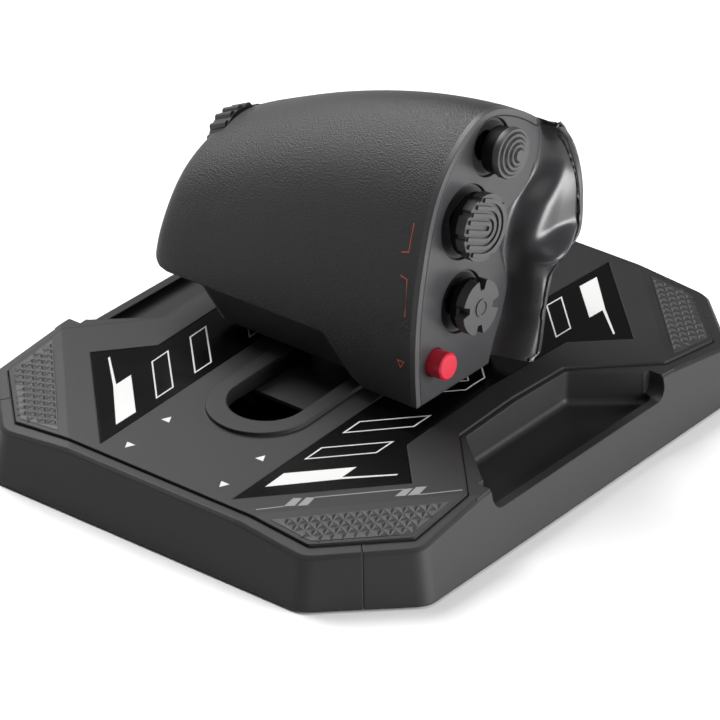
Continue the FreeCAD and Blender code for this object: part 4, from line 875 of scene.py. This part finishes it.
@dataclass
class HatCaps(Workshop):
    """Caps of the three thumb hats with the near-black boots that fill their wells; the boots'
    black paints the shade round each cap.

    Each place holds Y, Z, the cap's radius, its height over the panel and the
    radius of its well.
    """

    upper: tuple[float, ...] = (14.7, 114.2, 9.2, 12.6, 10.6)
    middle: tuple[float, ...] = (-1.2, 92.1, 12.2, 8.8, 13.6)
    lower: tuple[float, ...] = (-5.2, 63.0, 10.1, 8.6, 11.5)
    cap_t: float = 3.8
    skirt: tuple = ((-0.5, -2.0), (0.0, -1.4))
    rings: int = 5              # steps of the upper cap's dome
    dome_h: float = 3.6
    ring_in: float = 0.3
    ring_pitch: float = 1.7
    ring_up: float = 0.75
    ring_flat: float = 0.9
    groove_in: float = 1.15
    groove_deep: float = 0.3
    notches: tuple = (55, 125, 235, 305, 160, 200)
    notch: float = 1.0          # their half width and depth
    ridges: tuple = (1.6, 4.3, 7.0, 9.7)
    ridge_in: float = 1.2       # ridge ends inside the middle cap's edge
    ridge_w: float = 1.5
    ridge_up: float = 0.9
    middle_turn: float = -24.0
    gaps: tuple = (0, 90, 180, 270)
    gap_half: float = 1.9       # gaps between the arms of the lower cap's cross
    gap_deep: float = 3.6
    crown: tuple = ((3.3, -0.1), (3.3, 0.5), (2.5, 0.5), (2.4, 0.05))
    lower_turn: float = -10.0
    outline_steps: int = 120
    smooth_angle: float = 35.0
    tilt_room: float = 2.2      # room between boot and well
    boot_steps: tuple = ((-0.8, 1.5), (0.0, 2.0), (0.0, 2.2))
    boot_in: float = 0.5        # boot's end inside and above the cap's back
    boot_up: float = 0.2

    def turned(self, profile: list[Spot], sides: int = 48) -> bpy.types.Object:
        """A turned piece from radius and height pairs, closed at both ends."""
        bpy.ops.object.select_all(action="DESELECT")
        radius, height = profile[0]
        bpy.ops.mesh.primitive_circle_add(vertices=sides, radius=radius * MM,
                                          fill_type="NGON", location=(0, 0, height * MM))
        piece = bpy.context.active_object
        bpy.ops.object.transform_apply(location=True)
        bpy.ops.object.mode_set(mode="EDIT")
        bpy.ops.mesh.select_all(action="SELECT")
        for (r0, h0), (r1, h1) in zip(profile, profile[1:]):
            bpy.ops.mesh.extrude_region_move(
                TRANSFORM_OT_translate={"value": (0, 0, (h1 - h0) * MM)})
            bpy.ops.transform.resize(value=(r1 / r0, r1 / r0, 1.0))
        bpy.ops.mesh.select_all(action="SELECT")
        bpy.ops.mesh.normals_make_consistent(inside=False)
        bpy.ops.object.mode_set(mode="OBJECT")
        return piece

    def raised(self, piece: bpy.types.Object, by: float) -> bpy.types.Object:
        """Lift a piece along its own Z axis."""
        for vertex in piece.data.vertices:
            vertex.co.z += by * MM
        return piece

    def turn_flat(self, piece: bpy.types.Object, angle: float) -> None:
        """Turn a piece about its own Z axis by degrees."""
        cos, sin = math.cos(math.radians(angle)), math.sin(math.radians(angle))
        for vertex in piece.data.vertices:
            x, y, _ = vertex.co
            vertex.co.x, vertex.co.y = x * cos - y * sin, x * sin + y * cos

    def seated(self, piece: bpy.types.Object, y: float, z: float) -> bpy.types.Object:
        """Turn a piece modelled flat so that it faces out of the panel."""
        out = Vector((1.0, 0.0, PANEL_LEAN)).normalized()
        up = Vector((-PANEL_LEAN, 0.0, 1.0)).normalized()
        origin = Vector((panel_x(z), y, z)) * MM
        for vertex in piece.data.vertices:
            a, b, c = vertex.co
            vertex.co = origin + Vector((0, 1, 0)) * a + up * b + out * c
        return piece

    def notched(self, radius: float, centres: tuple[float, ...], half: float,
                deep: float) -> list[Spot]:
        """Round outline with notches of a half width, at angles in degrees."""
        points = []
        for step in range(self.outline_steps):
            angle = step * 360 / self.outline_steps
            near = min(abs((angle - c + 180) % 360 - 180) for c in centres)
            away = radius - (deep if math.radians(near) * radius < half else 0.0)
            points.append((away * math.cos(math.radians(angle)),
                           away * math.sin(math.radians(angle))))
        return points

    def boot(self, radius: float, high: float, well: float) -> bpy.types.Object:
        """Dark boot from inside the well to the back of the cap, a near-black drum that paints
        the shade round the cap.
        """
        room = well - self.tilt_room
        return self.turned([*((room + out, up) for out, up in self.boot_steps),
                            (radius - self.boot_in, high - self.cap_t + self.boot_up)])

    def put(self, name: str, place: tuple[float, ...], cap: list[bpy.types.Object]) -> None:
        """Seat a cap and its boot and tie them to the hat."""
        y, z, radius, high, well = place
        boot = self.boot(radius, high, well)
        boot.name = boot.data.name = name + "_boot"
        whole = self.joined(name + "_finished", cap)
        # the boot's near-black finish is painted shade round the cap
        for piece, tone in ((boot, Tone.SHADE_BOOT), (whole, Tone.CAP)):
            self.seated(piece, y, z)
            self.only(piece)
            bpy.ops.object.shade_smooth_by_angle(angle=math.radians(self.smooth_angle))
            self.finish(piece, tone, name, "control_plastic")
        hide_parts(name)

    def build(self) -> None:
        """Stepped dome, cap with nested ridges, and cross with a ring."""
        _, _, r, h, _ = self.upper
        steps = [(r + out, h - self.cap_t + up) for out, up in self.skirt]
        steps.append((r, h - self.dome_h))
        for ring in range(self.rings):
            inner = r - self.ring_in - ring * self.ring_pitch
            level = h - self.dome_h + (ring + 1) * self.ring_up
            steps += [(inner, level), (inner - self.ring_flat, level),
                      (inner - self.groove_in, level - self.groove_deep)]
        steps.pop()
        self.put("upper_hat_cap", self.upper, [self.turned(steps)])

        _, _, r, h, _ = self.middle
        body = self.polygon(self.notched(r, self.notches, self.notch, self.notch),
                            thick=self.cap_t)
        pieces = [self.raised(body, h - self.cap_t)]
        for reach in self.ridges:
            start = -math.sqrt(max((r - self.ridge_in)**2 - reach**2, 1.0))
            bend = [(reach * math.cos(math.radians(a)), reach * math.sin(math.radians(a)))
                    for a in range(90, -91, -15)]
            line = [(start, reach), *bend, (start, -reach)]
            ridge = self.raised(self.stroke(line, self.ridge_w), h)
            for vertex in ridge.data.vertices:
                if vertex.co.z > (h + PRINT_T / 2) * MM:
                    vertex.co.z = (h + self.ridge_up) * MM
            pieces.append(ridge)
        for piece in pieces:
            self.turn_flat(piece, self.middle_turn)
        self.put("middle_hat_cap", self.middle, pieces)

        _, _, r, h, _ = self.lower
        cross = self.polygon(self.notched(r, self.gaps, self.gap_half, self.gap_deep),
                             thick=self.cap_t)
        ring = self.turned([(radius, h + up) for radius, up in self.crown])
        self.turn_flat(cross, self.lower_turn)
        self.put("lower_hat_cap", self.lower, [self.raised(cross, h - self.cap_t), ring])


@dataclass
class Studio:
    """Pale floor, soft lamps and the camera.

    Each lamp holds a name, azimuth, elevation, distance, size and power.
    """

    target: tuple[float, float, float] = (0.00912, -0.01232, 0.029)
    azimuth: float = 38.58
    elevation: float = 29.58
    distance: float = 1.8
    lens: float = 254.3
    sensor: float = 36.0
    shift: float = -0.00136
    far: float = 20.0
    lamps: tuple = (("sheen", -100.0, 52.0, 1.2, 0.8, 21.0),
                    ("over", 20.0, 80.0, 1.4, 0.8, 3.5),
                    ("side", 106.0, 7.0, 1.1, 0.7, 28.0))
    world_light: float = 0.14
    floor_w: float = 8.0

    def towards(self, azimuth: float, elevation: float) -> Vector:
        """Unit vector from the unit to a viewer at two angles in degrees."""
        az, el = math.radians(azimuth), math.radians(elevation)
        return Vector((math.sin(az) * math.cos(el), -math.cos(az) * math.cos(el),
                       math.sin(el)))

    def aimed(self, thing: bpy.types.Object, place: Vector) -> None:
        """Put a camera or lamp at a place, looking at the unit."""
        thing.location = place
        thing.rotation_euler = (Vector(self.target) - place).to_track_quat("-Z", "Y").to_euler()

    def lamp(self, name: str, azimuth: float, elevation: float, away: float, size: float,
             power: float) -> None:
        """Add a square soft lamp."""
        data = bpy.data.lights.new(name, "AREA")
        data.size = size
        data.energy = power
        lamp = bpy.data.objects.new(name, data)
        bpy.context.scene.collection.objects.link(lamp)
        self.aimed(lamp, Vector(self.target) + self.towards(azimuth, elevation) * away)

    def build(self, paints: Paintbox) -> None:
        """Set the camera, lamps, world and floor."""
        scene = bpy.context.scene
        scene.view_settings.view_transform = "Standard"
        data = bpy.data.cameras.new("camera")
        data.lens = self.lens
        data.sensor_width = self.sensor
        data.shift_x = self.shift
        data.clip_end = self.far
        camera = bpy.data.objects.new("camera", data)
        scene.collection.objects.link(camera)
        self.aimed(camera, Vector(self.target)
                   + self.towards(self.azimuth, self.elevation) * self.distance)
        scene.camera = camera
        for lamp in self.lamps:
            self.lamp(*lamp)
        world = bpy.data.worlds.new("world")
        world.use_nodes = True
        background = world.node_tree.nodes["Background"]
        background.inputs["Color"].default_value = (1, 1, 1, 1)
        background.inputs["Strength"].default_value = self.world_light
        scene.world = world
        bpy.ops.mesh.primitive_plane_add(size=self.floor_w, location=(0, 0, 0))
        floor = bpy.context.active_object
        floor.name = "floor"
        paints.coat(floor, Tone.FLOOR)


def main() -> None:
    """Dress the unit, part by part."""
    logging.basicConfig(level=logging.INFO, format="%(message)s")
    paints = Paintbox()
    Studio().build(paints)
    paints.coat_nodes()
    deck = DeckPrint(paints)
    deck.insert_marks()
    deck.arrows()
    deck.crease_rule()
    GripPads(paints).build()
    GripPrint(paints).build()
    ThumbRest(paints).build()
    Refiner(paints).build("front_shell", 35.0, Tone.SATIN, "slider", "satin_plastic")
    HatCaps(paints).build()
    LOG.info("finished %d nodes", len(frame["nodes"]))


if __name__ == "__main__":
    main()
